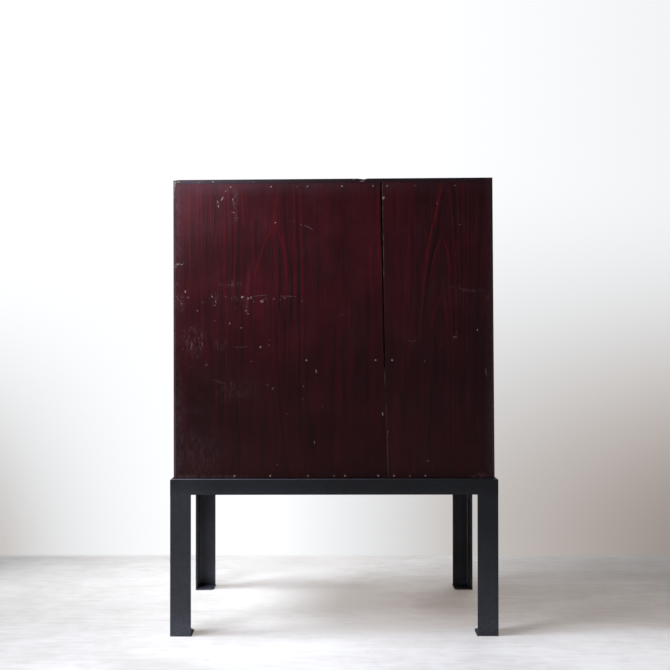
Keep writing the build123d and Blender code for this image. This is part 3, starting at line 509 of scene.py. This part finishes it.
def iron(name, base, worn, seed, rough=0.42, dust=None, edge=None, spec=0.5):
    M = Mat(name)
    n1 = M.noise(M.pos, 0.012, 4.0, 0.6)
    n2 = M.noise(M.pos, 0.16, 4.0, 0.65)
    n3 = M.noise(M.pos, 1.1, 3.0, 0.6)
    drawn = M.noise(M.vec(M.mul(M.x, 0.9), M.mul(M.y, 0.9), M.mul(M.z, 0.02)), 1.0, 3.0, 0.6)
    col = M.mix(M.step(M.add(M.mul(n1, 0.5), M.mul(n2, 0.5)), 0.38, 0.66), base, worn)
    col = M.mix(M.mul(M.step(n3, 0.60, 0.75), 0.22), col, tuple(c * 1.9 for c in worn[:3]) + (1.0,))
    rgh = M.add(M.mul(M.sub(n2, 0.5), 0.22), M.mul(M.sub(drawn, 0.5), 0.12), rough)
    if edge:
        # painted highlight: the top face of the ledge around the chest catches the window light, brightest on the
        # window side (+X) and fading away from it
        pale_tone = M.mul(M.step(M.z, 299.2, 299.6), M.step(M.m("ABSOLUTE", M.y), 175.5, 178.0), M.step(M.m("ABSOLUTE", M.y), 183.5, 181.5),
                    M.span(n2, 0.3, 0.7, 0.75, 1.0))
        side = M.span(M.x, -310.0, 300.0, 0.36, 1.0)
        # painted light and shade on the stand: darker at the top of the rails, lighter lower down and a little darker
        # at the floor, with a few darker and lighter zones, and the inner faces of the far legs painted lighter on the
        # window side (+X) and darker away from it
        painted_light_and_shade = M.add(0.93, M.mul(M.step(M.z, 268.0, 288.0), M.span(M.x, -150.0, 0.0, -0.20, -0.33)), M.mul(M.step(M.z, 190.0, 90.0), 0.20), M.mul(M.step(M.z, 24.0, 6.0), -0.10))
        painted_light_and_shade = M.sub(painted_light_and_shade, M.mul(M.step(M.z, 240.0, 210.0), M.step(M.z, 150.0, 185.0), 0.06))
        painted_light_and_shade = M.sub(painted_light_and_shade, M.mul(M.step(M.x, 100.0, -250.0), M.step(M.z, 150.0, 230.0), 0.17))
        painted_light_and_shade = M.add(painted_light_and_shade, M.mul(M.step(M.x, 200.0, 280.0), M.step(M.z, 215.0, 245.0), 0.07), M.mul(M.step(M.x, -200.0, -280.0), M.step(M.z, 150.0, 110.0), M.step(M.z, 30.0, 60.0), 0.16))
        inside = M.mul(M.step(M.y, -184.6, -184.2), M.step(M.y, -120.0, -130.0), M.step(M.m("ABSOLUTE", M.x), 314.6, 314.2))
        painted_light_and_shade = M.mul(painted_light_and_shade, M.span(M.mul(inside, M.step(M.x, 100.0, -100.0), M.span(M.z, 290.0, 40.0, 0.16, 0.86)), 0.0, 1.0, 1.0, 0.0))
        painted_light_and_shade = M.mul(painted_light_and_shade, M.span(M.mul(inside, M.step(M.x, -100.0, 100.0), M.step(M.z, 270.0, 60.0)), 0.0, 1.0, 1.0, 1.85))
        col = M.mix(1.0, col, M.vec(painted_light_and_shade, painted_light_and_shade, painted_light_and_shade), "MULTIPLY")
        col = M.mix(M.mul(pale_tone, side, side), col, edge)
        # painted highlight on the top face of the foot plate under the +X, +Y leg
        toe = M.mul(M.step(M.z, 2.6, 2.8), M.step(M.z, 4.0, 3.4), M.step(M.x, 275.0, 276.0), M.step(M.x, 292.0, 288.0), M.step(M.y, 146.0, 149.0), M.step(M.y, 174.0, 171.0))
        col = M.mix(toe, col, lin(176, 178, 184))
    if dust:
        d = M.mul(M.step(M.z, 70.0, 2.0), M.span(n2, 0.3, 0.7, 0.3, 1.0))
        col = M.mix(M.mul(d, 0.30), col, dust)
        rgh = M.add(rgh, M.mul(d, 0.2))
    h = M.add(M.mul(n2, 0.5), M.mul(n3, 0.35), M.mul(drawn, 0.3))
    M.finish(col, rgh, M.bump(h, 0.30, 0.10), metallic=0.0)
    M.bsdf.inputs["Specular IOR Level"].default_value = spec
    return M.mat


mat_stand = iron("stand_iron", lin(33, 34, 39), lin(42, 44, 52), 1.0, 0.42, lin(98, 101, 116), lin(136, 138, 156), spec=0.25)
mat_handle = iron("handle_iron", lin(24, 23, 24), lin(40, 38, 38), 5.0, 0.48)


def steel(name, base, dirt, rough, metallic=0.75, dulled=()):
    M = Mat(name)
    n1 = M.noise(M.pos, 0.9, 4.0, 0.6)
    n2 = M.noise(M.pos, 0.08, 2.0, 0.5)
    col = M.mix(M.step(n1, 0.42, 0.66), base, dirt)
    col = M.mix(M.mul(M.step(n2, 0.45, 0.62), 0.4), col, dirt)
    for cx, cz in dulled:
        spot = M.mul(M.step(M.m("ABSOLUTE", M.sub(M.x, cx)), 7.0, 5.0), M.step(M.m("ABSOLUTE", M.sub(M.z, cz)), 181.0, 180.0))
        col = M.mix(M.mul(spot, 0.7), col, lin(48, 22, 26))
    return M.finish(col, M.add(M.mul(M.sub(n1, 0.5), 0.3), rough), M.bump(n1, 0.3, 0.1), metallic=metallic)


mat_nail = steel("nail_steel", lin(150, 140, 142), lin(78, 64, 66), 0.5, 0.2, dulled=((71.1, 700.0), (0.0, 290.0), (-146.5, 290.0), (-157.7, 900.0), (-234.1, 900.0)))
mat_screw = steel("screw_steel", lin(150, 148, 146), lin(70, 66, 62), 0.4, 0.85)

M = Mat("peg_end_grain")
c1 = M.noise(M.pos, 0.8, 3.0, 0.6)
mat_peg = M.finish(M.mix(M.step(c1, 0.4, 0.65), lin(58, 24, 20), lin(92, 44, 34)), 0.5, M.bump(c1, 0.3, 0.1))

M = Mat("chip_bare_wood")
c1 = M.noise(M.pos, 1.2, 3.0, 0.6)
c2 = M.noise(M.vec(M.mul(M.x, 1.5), M.y, M.mul(M.z, 0.1)), 1.0, 3.0, 0.6)
mat_chip = M.finish(M.mix(M.step(M.add(M.mul(c1, 0.5), M.mul(c2, 0.5)), 0.38, 0.62), lin(112, 94, 94), lin(176, 166, 164)), 0.7, M.bump(c2, 0.4, 0.1))
M = Mat("scratch_film")
c1 = M.noise(M.pos, 0.7, 3.0, 0.6)
mat_scratch = M.finish(M.mix(M.step(c1, 0.4, 0.62), lin(78, 48, 54), lin(116, 90, 96)), 0.62, M.bump(c1, 0.4, 0.1))
M = Mat("faint_scuff")
c1 = M.noise(M.pos, 0.7, 3.0, 0.6)
mat_film = M.finish(M.mix(M.step(c1, 0.4, 0.62), lin(60, 28, 34), lin(84, 52, 58)), 0.6, M.bump(c1, 0.4, 0.1))


def put(node, mat):
    o = nodes[node]
    o.data.materials.clear()
    o.data.materials.append(mat)


for name in nodes:
    if name.startswith("stand_"):
        put(name, mat_screw if name == "stand_screws" else mat_stand)
    elif name == "back_board_wide":
        put(name, mat_wide)
    elif name == "back_board_narrow":
        put(name, mat_narrow)
    elif name == "back_nails":
        put(name, mat_nail)
    elif name == "corner_pegs":
        put(name, mat_peg)
    elif name == "top_board":
        put(name, mat_top)
    elif name == "side_board_right":
        put(name, mat_side_r)
    elif name == "side_board_left":
        put(name, mat_side_l)
    elif name in ("shelf_lower", "shelf_upper", "bottom_board"):
        put(name, mat_inner)
    elif name == "drawer_divider":
        put(name, mat_upright)
    elif name == "drawer_stops":
        put(name, mat_raw_x)
    elif "_bail" in name or "_handle_" in name:
        put(name, mat_handle)
    elif name.endswith("_front"):
        put(name, front_mats[name[:-6]])
    elif name.endswith("_back"):
        put(name, mat_raw_x)
    elif name.endswith("_bottom"):
        put(name, mat_raw_flat)
    else:
        put(name, mat_raw_y)


# --------------------------------------------------------------------------
# eased edges on the boards
# --------------------------------------------------------------------------
def ease(node, width_mm, segments=2):
    o = nodes[node]
    w = o.modifiers.new("weld", "WELD")
    w.merge_threshold = 0.00002
    b = o.modifiers.new("ease", "BEVEL")
    b.width = width_mm / 1000.0
    b.segments = segments
    b.limit_method = "ANGLE"
    b.angle_limit = math.radians(40)
    b.harden_normals = False
    b.use_clamp_overlap = True


for name in nodes:
    if name in ("top_board", "side_board_left", "side_board_right", "bottom_board"):
        ease(name, 0.9)
    elif name in ("shelf_lower", "shelf_upper", "drawer_divider"):
        ease(name, 0.6)


# --------------------------------------------------------------------------
# wear on the back: chips that show bare wood, and dull scratches
# --------------------------------------------------------------------------
def flake(bm, cx, cz, w, h, angle, rnd, y, points=9, ragged=0.35):
    """One irregular flake, a hair proud of the board.  w is along the angle, h across it."""
    vs = []
    for i in range(points):
        t = 2 * math.pi * i / points
        k = 1.0 + rnd.uniform(-ragged, ragged)
        u, v = math.cos(t) * w / 2 * k, math.sin(t) * h / 2 * k
        x = cx + u * math.cos(angle) - v * math.sin(angle)
        z = cz + u * math.sin(angle) + v * math.cos(angle)
        vs.append(bm.verts.new((x / 1000, (y + 0.05) / 1000, z / 1000)))
    c = bm.verts.new((cx / 1000, (y + 0.09) / 1000, cz / 1000))
    for i in range(points):
        bm.faces.new((vs[(i + 1) % points], vs[i], c))


def cluster(bm, cx, cz, w, h, tilt, rnd, y, cover=0.45):
    """A worn spot: one flake when small, a scatter of small ones when large."""
    t = math.radians(tilt)
    if w < 6.5 or h < 2.4:
        flake(bm, cx, cz, w, max(h, 0.8), t, rnd, y, points=11, ragged=0.35)
        return
    n = max(5, int(cover * w * h / 2.4))
    for i in range(n):
        u, v = rnd.gauss(0, w * 0.26), rnd.gauss(0, h * 0.26)
        x = cx + u * math.cos(t) - v * math.sin(t)
        z = cz + u * math.sin(t) + v * math.cos(t)
        flake(bm, x, z, rnd.uniform(1.0, 3.2), rnd.uniform(0.6, 1.6), t + rnd.uniform(-0.6, 0.6), rnd, y, points=7, ragged=0.4)


def mesh_piece(name, bm, mat, body="case", smooth=False):
    me = bpy.data.meshes.new(name)
    bm.normal_update()
    bm.to_mesh(me)
    bm.free()
    o = bpy.data.objects.new(name, me)
    scene.collection.objects.link(o)
    me.materials.append(mat)
    if smooth:
        for p in me.polygons:
            p.use_smooth = True
    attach(o, body)
    return o


# worn spots on the back: x, z, length, width in mm and tilt in degrees from the +X axis
BRIGHT = [
    (210, 856, 2.8, 1.4, 30), (225, 835, 8.0, 3.2, 95), (224, 827, 5.0, 2.4, 85), (216, 842, 9.6, 2.0, 120),
    (196, 840, 5.0, 2.2, 60), (-95.6, 843.4, 5.2, 4.4, 100), (195, 815, 6.5, 1.0, 0), (113.5, 795.3, 2.6, 1.9, 0),
    (303, 713, 18.0, 4.6, 165), (288, 662, 5.2, 3.2, 95), (236, 652, 5.0, 1.6, 55), (229, 642, 4.0, 1.6, 75), (178, 651, 5.6, 3.4, 155),
    (165, 648.6, 13.0, 4.4, 160), (295, 638.5, 3.0, 2.0, 135), (231, 635.4, 2.4, 1.2, 0), (170, 624, 4.0, 1.6, 80), (166.5, 619, 3.0, 1.8, 20),
    (138.6, 643.4, 10.0, 6.4, 35), (264.2, 624.4, 2.4, 2.0, 175), (202, 600.3, 4.2, 2.0, 105), (179.4, 591.8, 2.8, 2.4, 130),
    (-277.3, 587.5, 3.6, 2.0, 75), (142.4, 554.2, 3.4, 2.6, 95), (34.8, 507.8, 6.4, 1.4, 85), (-93.6, 425.2, 8.0, 2.0, 85),
]
DIM = [
    (195, 831, 3.6, 2.0, 100), (-199.4, 832.2, 4.2, 2.6, 75), (303.5, 827.4, 8.0, 5.0, 65), (189.2, 810.2, 3.8, 1.8, 25),
    (189, 804.5, 8.5, 1.9, 175), (64, 791.6, 4.2, 1.4, 175), (53.2, 788.1, 11.0, 1.5, 25), (44.0, 783.5, 9.0, 1.1, 40),
    (-243.4, 791.3, 4.0, 2.0, 175), (197.8, 674, 7.3, 2.8, 40), (282.8, 650, 6.5, 5.0, 160), (116.6, 647.9, 4.4, 2.2, 0),
    (97.2, 650.9, 12.0, 4.6, 25), (155.4, 642.3, 4.4, 1.8, 160), (62.3, 642.9, 4.4, 1.9, 70), (231, 605.5, 2.6, 2.0, 100),
    (-234.4, 572.5, 9.0, 6.0, 175), (276, 556.8, 17.0, 2.0, 100), (255, 560.1, 10.0, 1.7, 70), (-175.5, 527.4, 5.4, 1.0, 90),
    (247.3, 518.9, 10.0, 3.6, 105), (128.4, 480.7, 10.0, 3.2, 5), (59.3, 478.6, 4.2, 2.0, 95), (118.7, 473.4, 10.0, 3.4, 105),
    (-103.1, 386.3, 11.0, 3.6, 95), (38.5, 370.5, 6.0, 1.8, 85), (85.8, 652.8, 17.0, 1.3, 2), (143.0, 654.0, 26.0, 1.2, 174),
    (190.5, 858.0, 4.0, 1.3, 80), (188.0, 851.0, 3.5, 1.2, 95), (191.0, 845.0, 4.0, 1.3, 85), (187.5, 838.0, 3.6, 1.2, 100),
    (190.8, 823.0, 4.0, 1.3, 80), (187.6, 817.0, 4.0, 1.2, 95), (190.0, 799.0, 3.0, 1.2, 88), (209.0, 652.0, 4.0, 1.6, 10),
    (198.0, 648.5, 3.4, 1.4, 60), (132.0, 649.0, 4.0, 1.6, 20), (104.0, 646.0, 3.4, 1.4, 45), (254.0, 641.0, 3.4, 2.0, 60),
    (302.3, 647.0, 4.0, 2.6, 70), (297.0, 643.5, 4.0, 2.2, 20), (303.6, 652.0, 3.4, 1.8, 150), (292.7, 651.0, 5.0, 1.4, 0),
    (281.7, 650.3, 5.0, 1.8, 0), (230.5, 649.3, 3.6, 1.6, 30), (168.4, 632.4, 3.0, 2.0, 90), (304.2, 677.3, 3.0, 2.2, 0),
]
FAINT = [
    (285, 866, 8.0, 1.2, 110), (230, 851, 6.9, 4.0, 90), (192, 847, 10.0, 4.6, 90), (227.5, 843, 2.7, 2.5, 140),
    (78.4, 798, 5.0, 2.0, 75), (-242.3, 671, 2.6, 2.5, 140), (191.4, 651, 11.6, 1.5, 35), (75.2, 652, 4.7, 2.1, 15),
    (190.8, 630, 2.6, 2.6, 20), (128.9, 644, 2.7, 2.6, 135), (293.3, 625.7, 7.7, 1.2, 135), (-14.6, 616.7, 7.4, 1.8, 175),
    (256.1, 579.8, 7.1, 3.5, 105), (255, 571.3, 7.5, 3.0, 115), (125.1, 568.7, 2.6, 2.6, 125), (-236.1, 581.7, 4.9, 2.0, 105),
    (226.8, 563.2, 7.0, 3.5, 120), (126, 558.2, 3.9, 3.4, 0), (291.2, 550.1, 5.5, 1.2, 60), (263.7, 535.9, 7.1, 4.6, 90),
    (160.6, 526.5, 5.1, 2.0, 15), (277.9, 516, 3.2, 1.2, 35), (197.9, 483.3, 8.1, 2.4, 55), (222.0, 487.0, 26.0, 1.3, 18),
    (61.3, 454.5, 2.6, 2.6, 30), (22.7, 439, 2.6, 2.6, 155), (299.3, 329.4, 3.3, 1.2, 140), (203.0, 675.0, 14.0, 2.6, 2),
    (274.0, 560.0, 7.0, 2.0, 84), (262.0, 572.0, 6.0, 2.0, 100), (281.0, 575.0, 6.0, 1.8, 96), (268.0, 584.0, 6.0, 1.8, 70), (286.0, 566.0, 5.0, 1.8, 120),
    (259.0, 552.0, 6.0, 1.8, 80), (290.0, 586.0, 5.0, 1.6, 60), (277.0, 592.0, 5.0, 1.6, 100), (178.0, 555.0, 30.0, 4.0, 176), (-152.0, 566.0, 24.0, 3.0, 2),
    (-229.0, 670.6, 14.0, 1.2, 3), (-262.0, 664.0, 40.0, 1.4, 12), (-296.0, 649.5, 12.0, 3.0, 10), (-294.0, 505.0, 4.0, 16.0, 0),
    (91.6, 425.5, 6.0, 1.6, 25), (111.0, 328.0, 6.0, 1.6, 20), (-181.0, 334.5, 4.0, 3.4, 0), (-286.0, 306.0, 22.0, 8.0, 5),
]
rnd = random.Random(41)
for name, marks, mat in (("back_chips", BRIGHT, mat_chip), ("back_scuffs", DIM, mat_scratch), ("back_faint_scuffs", FAINT, mat_film)):
    bm = bmesh.new()
    for x, z, l, w, t in marks:
        cluster(bm, x, z, l, w, t, rnd, YB)
    mesh_piece(name, bm, mat)

# the rubbed upper corner of the side board shows bare wood, its pale flakes also a painted highlight of the window
# light on the corner; the chipped edge of the top board shows bare wood
bm = bmesh.new()
for cx, cz, w, h, t in ((308.2, 868.5, 2.6, 15.0, 2), (307.4, 873.0, 3.4, 6.0, 5), (309.0, 858.0, 1.4, 9.0, 0), (300.5, 873.8, 8.0, 2.0, 2),
                        (308.6, 846.0, 1.0, 9.0, 3)):
    flake(bm, cx, cz, w, h, math.radians(t), rnd, YB - 0.02, points=15, ragged=0.28)
for cx, cz, w, h, t in ((234.5, 874.2, 3.4, 3.0, 10), (-53.5, 875.4, 9.0, 1.2, -3), (-57.5, 877.4, 7.0, 1.0, 6), (156.0, 874.6, 4.0, 0.6, 0),
                        (-38.0, 878.8, 8.0, 0.8, 0), (262.0, 873.2, 6.0, 0.9, 0)):
    flake(bm, cx, cz, w, h, math.radians(t), rnd, YB, points=13, ragged=0.35)
mesh_piece("edge_chips", bm, mat_chip)


# --------------------------------------------------------------------------
# floor, background, light and camera
# --------------------------------------------------------------------------
def room_tone(M, u, v):
    """Brightness of the pale room behind the object: whitest high and left, duller low and to the right."""
    low = M.step(M.add(v, M.span(u, 0.10, 0.36, 0.0, 0.035)), 0.21, -0.20)
    far_right = M.span(u, 0.12, 0.36, 0.01, 0.11)
    right = M.add(M.span(u, -0.06, 0.12, 0.0, 0.41), M.span(u, 0.12, 0.36, 0.0, 0.17))
    edge = M.span(u, -0.12, -0.36, 0.0, 1.0)
    left = M.mul(edge, edge, 0.44, M.step(v, 0.10, -0.26))
    dull_and_painted_shade = M.add(M.mul(right, low), left, M.mul(M.step(u, 0.08, 0.14), far_right), 0.02)
    return M.m("MAXIMUM", M.sub(1.045, dull_and_painted_shade), 0.25), dull_and_painted_shade


M = Mat("floor_pale")
n1 = M.noise(M.pos, 0.0035, 5.0, 0.62)
n2 = M.noise(M.pos, 0.03, 4.0, 0.6)
n3 = M.noise(M.vec(M.mul(M.x, 0.004), M.mul(M.y, 0.012), 5.0), 1.0, 4.0, 0.6)
n4 = M.noise(M.vec(M.mul(M.x, 0.012), M.mul(M.y, 0.075), 9.0), 1.0, 5.0, 0.68)
n5 = M.noise(M.pos, 0.25, 3.0, 0.6)
mottle = M.add(M.mul(n1, 0.30), M.mul(n2, 0.16), M.mul(n3, 0.22), M.mul(n4, 0.32))
col = M.mix(M.step(mottle, 0.38, 0.62), lin(199, 202, 205), lin(222, 227, 232))
col = M.mix(M.mul(M.step(n4, 0.58, 0.72), 0.30), col, lin(196, 190, 185))
col = M.mix(M.mul(M.step(n5, 0.66, 0.76), 0.16), col, lin(176, 172, 168))
# painted shade: the floor in front of the back (y 480 to 1400 mm) is darker, so little light bounces onto the back
# boards
col = M.mix(M.mul(M.step(M.y, 480.0, 1400.0), 0.72), col, lin(96, 96, 97))
# painted shade: the floor is darker to the far left and right behind the chest
far = M.step(M.y, 260.0, -420.0)
sides = M.add(M.mul(M.step(M.x, -60.0, -900.0), 0.46), M.mul(M.step(M.x, 300.0, 900.0), 0.50))
painted_light_and_shade = M.sub(1.0, M.mul(far, sides))
col = M.mix(M.sub(1.0, painted_light_and_shade), col, (0.0, 0.0, 0.0, 1.0))
# painted shade: the floor on the window side near the camera is darker
col = M.mix(M.mul(M.step(M.x, -20.0, 380.0), M.step(M.y, -260.0, 120.0), 0.22), col, (0.0, 0.0, 0.0, 1.0))


def oval(cx, cy, rx, ry):
    p, q = M.mul(M.sub(M.x, cx), 1.0 / rx), M.mul(M.sub(M.y, cy), 1.0 / ry)
    return M.step(M.add(M.mul(p, p), M.mul(q, q)), 1.0, 0.0)


# painted shadows: darker ovals on the floor beside, behind and in front of the chest
col = M.mix(M.mul(oval(-640.0, 50.0, 230.0, 110.0), 0.26), col, (0.0, 0.0, 0.0, 1.0))
col = M.mix(M.mul(oval(640.0, 330.0, 190.0, 190.0), 0.14), col, (0.0, 0.0, 0.0, 1.0))
col = M.mix(M.mul(oval(-255.0, 0.0, 120.0, 70.0), 0.16), col, (0.0, 0.0, 0.0, 1.0))
col = M.mix(M.mul(oval(-640.0, -265.0, 260.0, 75.0), 0.18), col, (0.0, 0.0, 0.0, 1.0))
# daylight falls on the floor in front, lamplight on the floor behind
cool = M.mul(M.step(M.y, 60.0, 190.0), M.step(M.y, 900.0, 500.0), M.span(M.x, 300.0, -500.0, 0.42, 1.0))
col = M.mix(cool, col, (1.0, 1.03, 1.09, 1.0), "MULTIPLY")
# painted pools of light: ovals where the floor glows brighter
spread = M.add(M.mul(oval(110.0, 80.0, 400.0, 460.0), 0.15), M.mul(oval(620.0, -260.0, 340.0, 300.0), 0.12),
               M.mul(oval(120.0, -420.0, 300.0, 260.0), 0.14), M.mul(oval(-560.0, 260.0, 260.0, 190.0), 0.07), M.mul(oval(-185.0, -165.0, 110.0, 60.0), 0.07))
mat_floor = M.finish(col, 0.6, M.bump(n2, 0.15, 0.3))
deep = M.sub(1950.0, M.y)
u = M.m("DIVIDE", M.mul(M.x, -1.0), deep)
v = M.m("DIVIDE", -565.0, deep)
tone, dull_and_painted_shade = room_tone(M, u, v)
warm = M.mix(M.step(M.y, 330.0, 700.0), (1.0, 0.80, 0.67, 1.0), (1.0, 0.96, 0.93, 1.0))
# the floor glows: painted light in place of ambient light, warm behind and cool in the pools
M.put(M.bsdf.inputs["Emission Color"], M.mix(M.mul(spread, 3.0), warm, (0.96, 0.98, 1.0, 1.0)))
M.put(M.bsdf.inputs["Emission Strength"], M.add(M.mul(painted_light_and_shade, M.span(mottle, 0.35, 0.65, 0.18, 0.23)), spread))
glow = M.nt.nodes.new("ShaderNodeEmission")
M.put(glow.inputs["Color"], M.mix(M.step(dull_and_painted_shade, 0.2, 0.75), (0.982, 0.990, 1.0, 1.0), (1.0, 0.88, 0.81, 1.0)))
M.put(glow.inputs["Strength"], tone)
blend = M.nt.nodes.new("ShaderNodeMixShader")
M.put(blend.inputs[0], M.step(M.y, -455.0, -505.0))
M.nt.links.new(M.bsdf.outputs[0], blend.inputs[1])
M.nt.links.new(glow.outputs[0], blend.inputs[2])
M.nt.links.new(blend.outputs[0], M.out.inputs["Surface"])
bpy.ops.mesh.primitive_circle_add(vertices=96, radius=9.0, fill_type="NGON", location=(0, 0, 0))
floor = bpy.context.object
floor.name = "floor"
floor.data.materials.append(mat_floor)

world = bpy.data.worlds.new("studio")
scene.world = world
world.use_nodes = True
W = Mat.__new__(Mat)
W.nt = world.node_tree
bg = W.nt.nodes["Background"]
bg.inputs["Color"].default_value = (0.92, 0.96, 1.0, 1.0)
bg.inputs["Strength"].default_value = 0.035
tc = W.nt.nodes.new("ShaderNodeTexCoord")
sep = W.nt.nodes.new("ShaderNodeSeparateXYZ")
W.nt.links.new(tc.outputs["Generated"], sep.inputs[0])
deep = W.m("MAXIMUM", W.mul(sep.outputs[1], -1.0), 0.2)
tone, dull_and_painted_shade = room_tone(W, W.m("DIVIDE", W.mul(sep.outputs[0], -1.0), deep), W.m("DIVIDE", sep.outputs[2], deep))
back_side = W.step(sep.outputs[1], -0.1, -0.6)
seen = W.nt.nodes.new("ShaderNodeBackground")
W.put(seen.inputs["Color"], W.mix(W.step(W.mul(dull_and_painted_shade, back_side), 0.2, 0.75), (0.982, 0.990, 1.0, 1.0), (1.0, 0.88, 0.81, 1.0)))
W.put(seen.inputs["Strength"], W.add(W.mul(tone, back_side), W.sub(1.0, back_side)))
path = W.nt.nodes.new("ShaderNodeLightPath")
both = W.nt.nodes.new("ShaderNodeMixShader")
W.nt.links.new(path.outputs["Is Camera Ray"], both.inputs[0])
W.nt.links.new(bg.outputs[0], both.inputs[1])
W.nt.links.new(seen.outputs[0], both.inputs[2])
W.nt.links.new(both.outputs[0], W.nt.nodes["World Output"].inputs["Surface"])
scene.view_settings.view_transform = "Standard"


def area(name, loc, target, size, size_y, power, color=(1, 1, 1)):
    d = bpy.data.lights.new(name, "AREA")
    d.shape = "RECTANGLE"
    d.size, d.size_y = size, size_y
    d.energy = power
    d.color = color
    o = bpy.data.objects.new(name, d)
    scene.collection.objects.link(o)
    o.location = loc
    v = Vector(target) - Vector(loc)
    o.rotation_euler = v.to_track_quat("-Z", "Y").to_euler()
    o.visible_camera = False
    return o


area("window_near", (0.86, 0.72, 1.24), (0.10, 0.15, 0.75), 0.45, 0.45, 9.2, (1.0, 0.98, 1.0))
low = area("window_low", (0.95, 0.60, 0.22), (0.10, 0.18, 0.12), 0.3, 0.3, 0.9, (1.0, 0.99, 1.0))
low.data.spread = math.radians(60)
pool = area("window_far", (2.40, 0.26, 2.62), (0.10, 0.16, 0.0), 1.0, 1.0, 31, (0.965, 0.985, 1.0))
pool.data.spread = math.radians(95)
pool.visible_glossy = False
area("overhead", (-0.3, -1.6, 2.4), (0.0, -0.2, 0.2), 2.4, 1.6, 16)
area("front_fill", (-1.6, -2.2, 1.4), (0.0, 0.0, 0.5), 1.8, 1.8, 8)

# camera: fitted to the edges of the photographed object
F_PX, CX, CY, CZ = 918.59, 2.28, 1950.62, 565.21
PITCH, YAW, ROLL = math.radians(0.4018), math.radians(0.1267), math.radians(-0.0427)
right, up, fwd = Vector((-1, 0, 0)), Vector((0, 0, 1)), Vector((0, -1, 0))
f1 = fwd * math.cos(YAW) + right * math.sin(YAW)
r1 = right * math.cos(YAW) - fwd * math.sin(YAW)
f2 = f1 * math.cos(PITCH) + up * math.sin(PITCH)
u2 = up * math.cos(PITCH) - f1 * math.sin(PITCH)
r3 = r1 * math.cos(ROLL) + u2 * math.sin(ROLL)
u3 = u2 * math.cos(ROLL) - r1 * math.sin(ROLL)
cam_data = bpy.data.cameras.new("camera")
cam_data.sensor_fit = "HORIZONTAL"
cam_data.sensor_width = 36.0
cam_data.lens = F_PX / 670.0 * 36.0
cam = bpy.data.objects.new("camera", cam_data)
scene.collection.objects.link(cam)
m = Matrix.Identity(4)
for i in range(3):
    m[i][0], m[i][1], m[i][2] = r3[i], u3[i], -f2[i]
m[0][3], m[1][3], m[2][3] = CX / 1000, CY / 1000, CZ / 1000
cam.matrix_world = m
scene.camera = cam
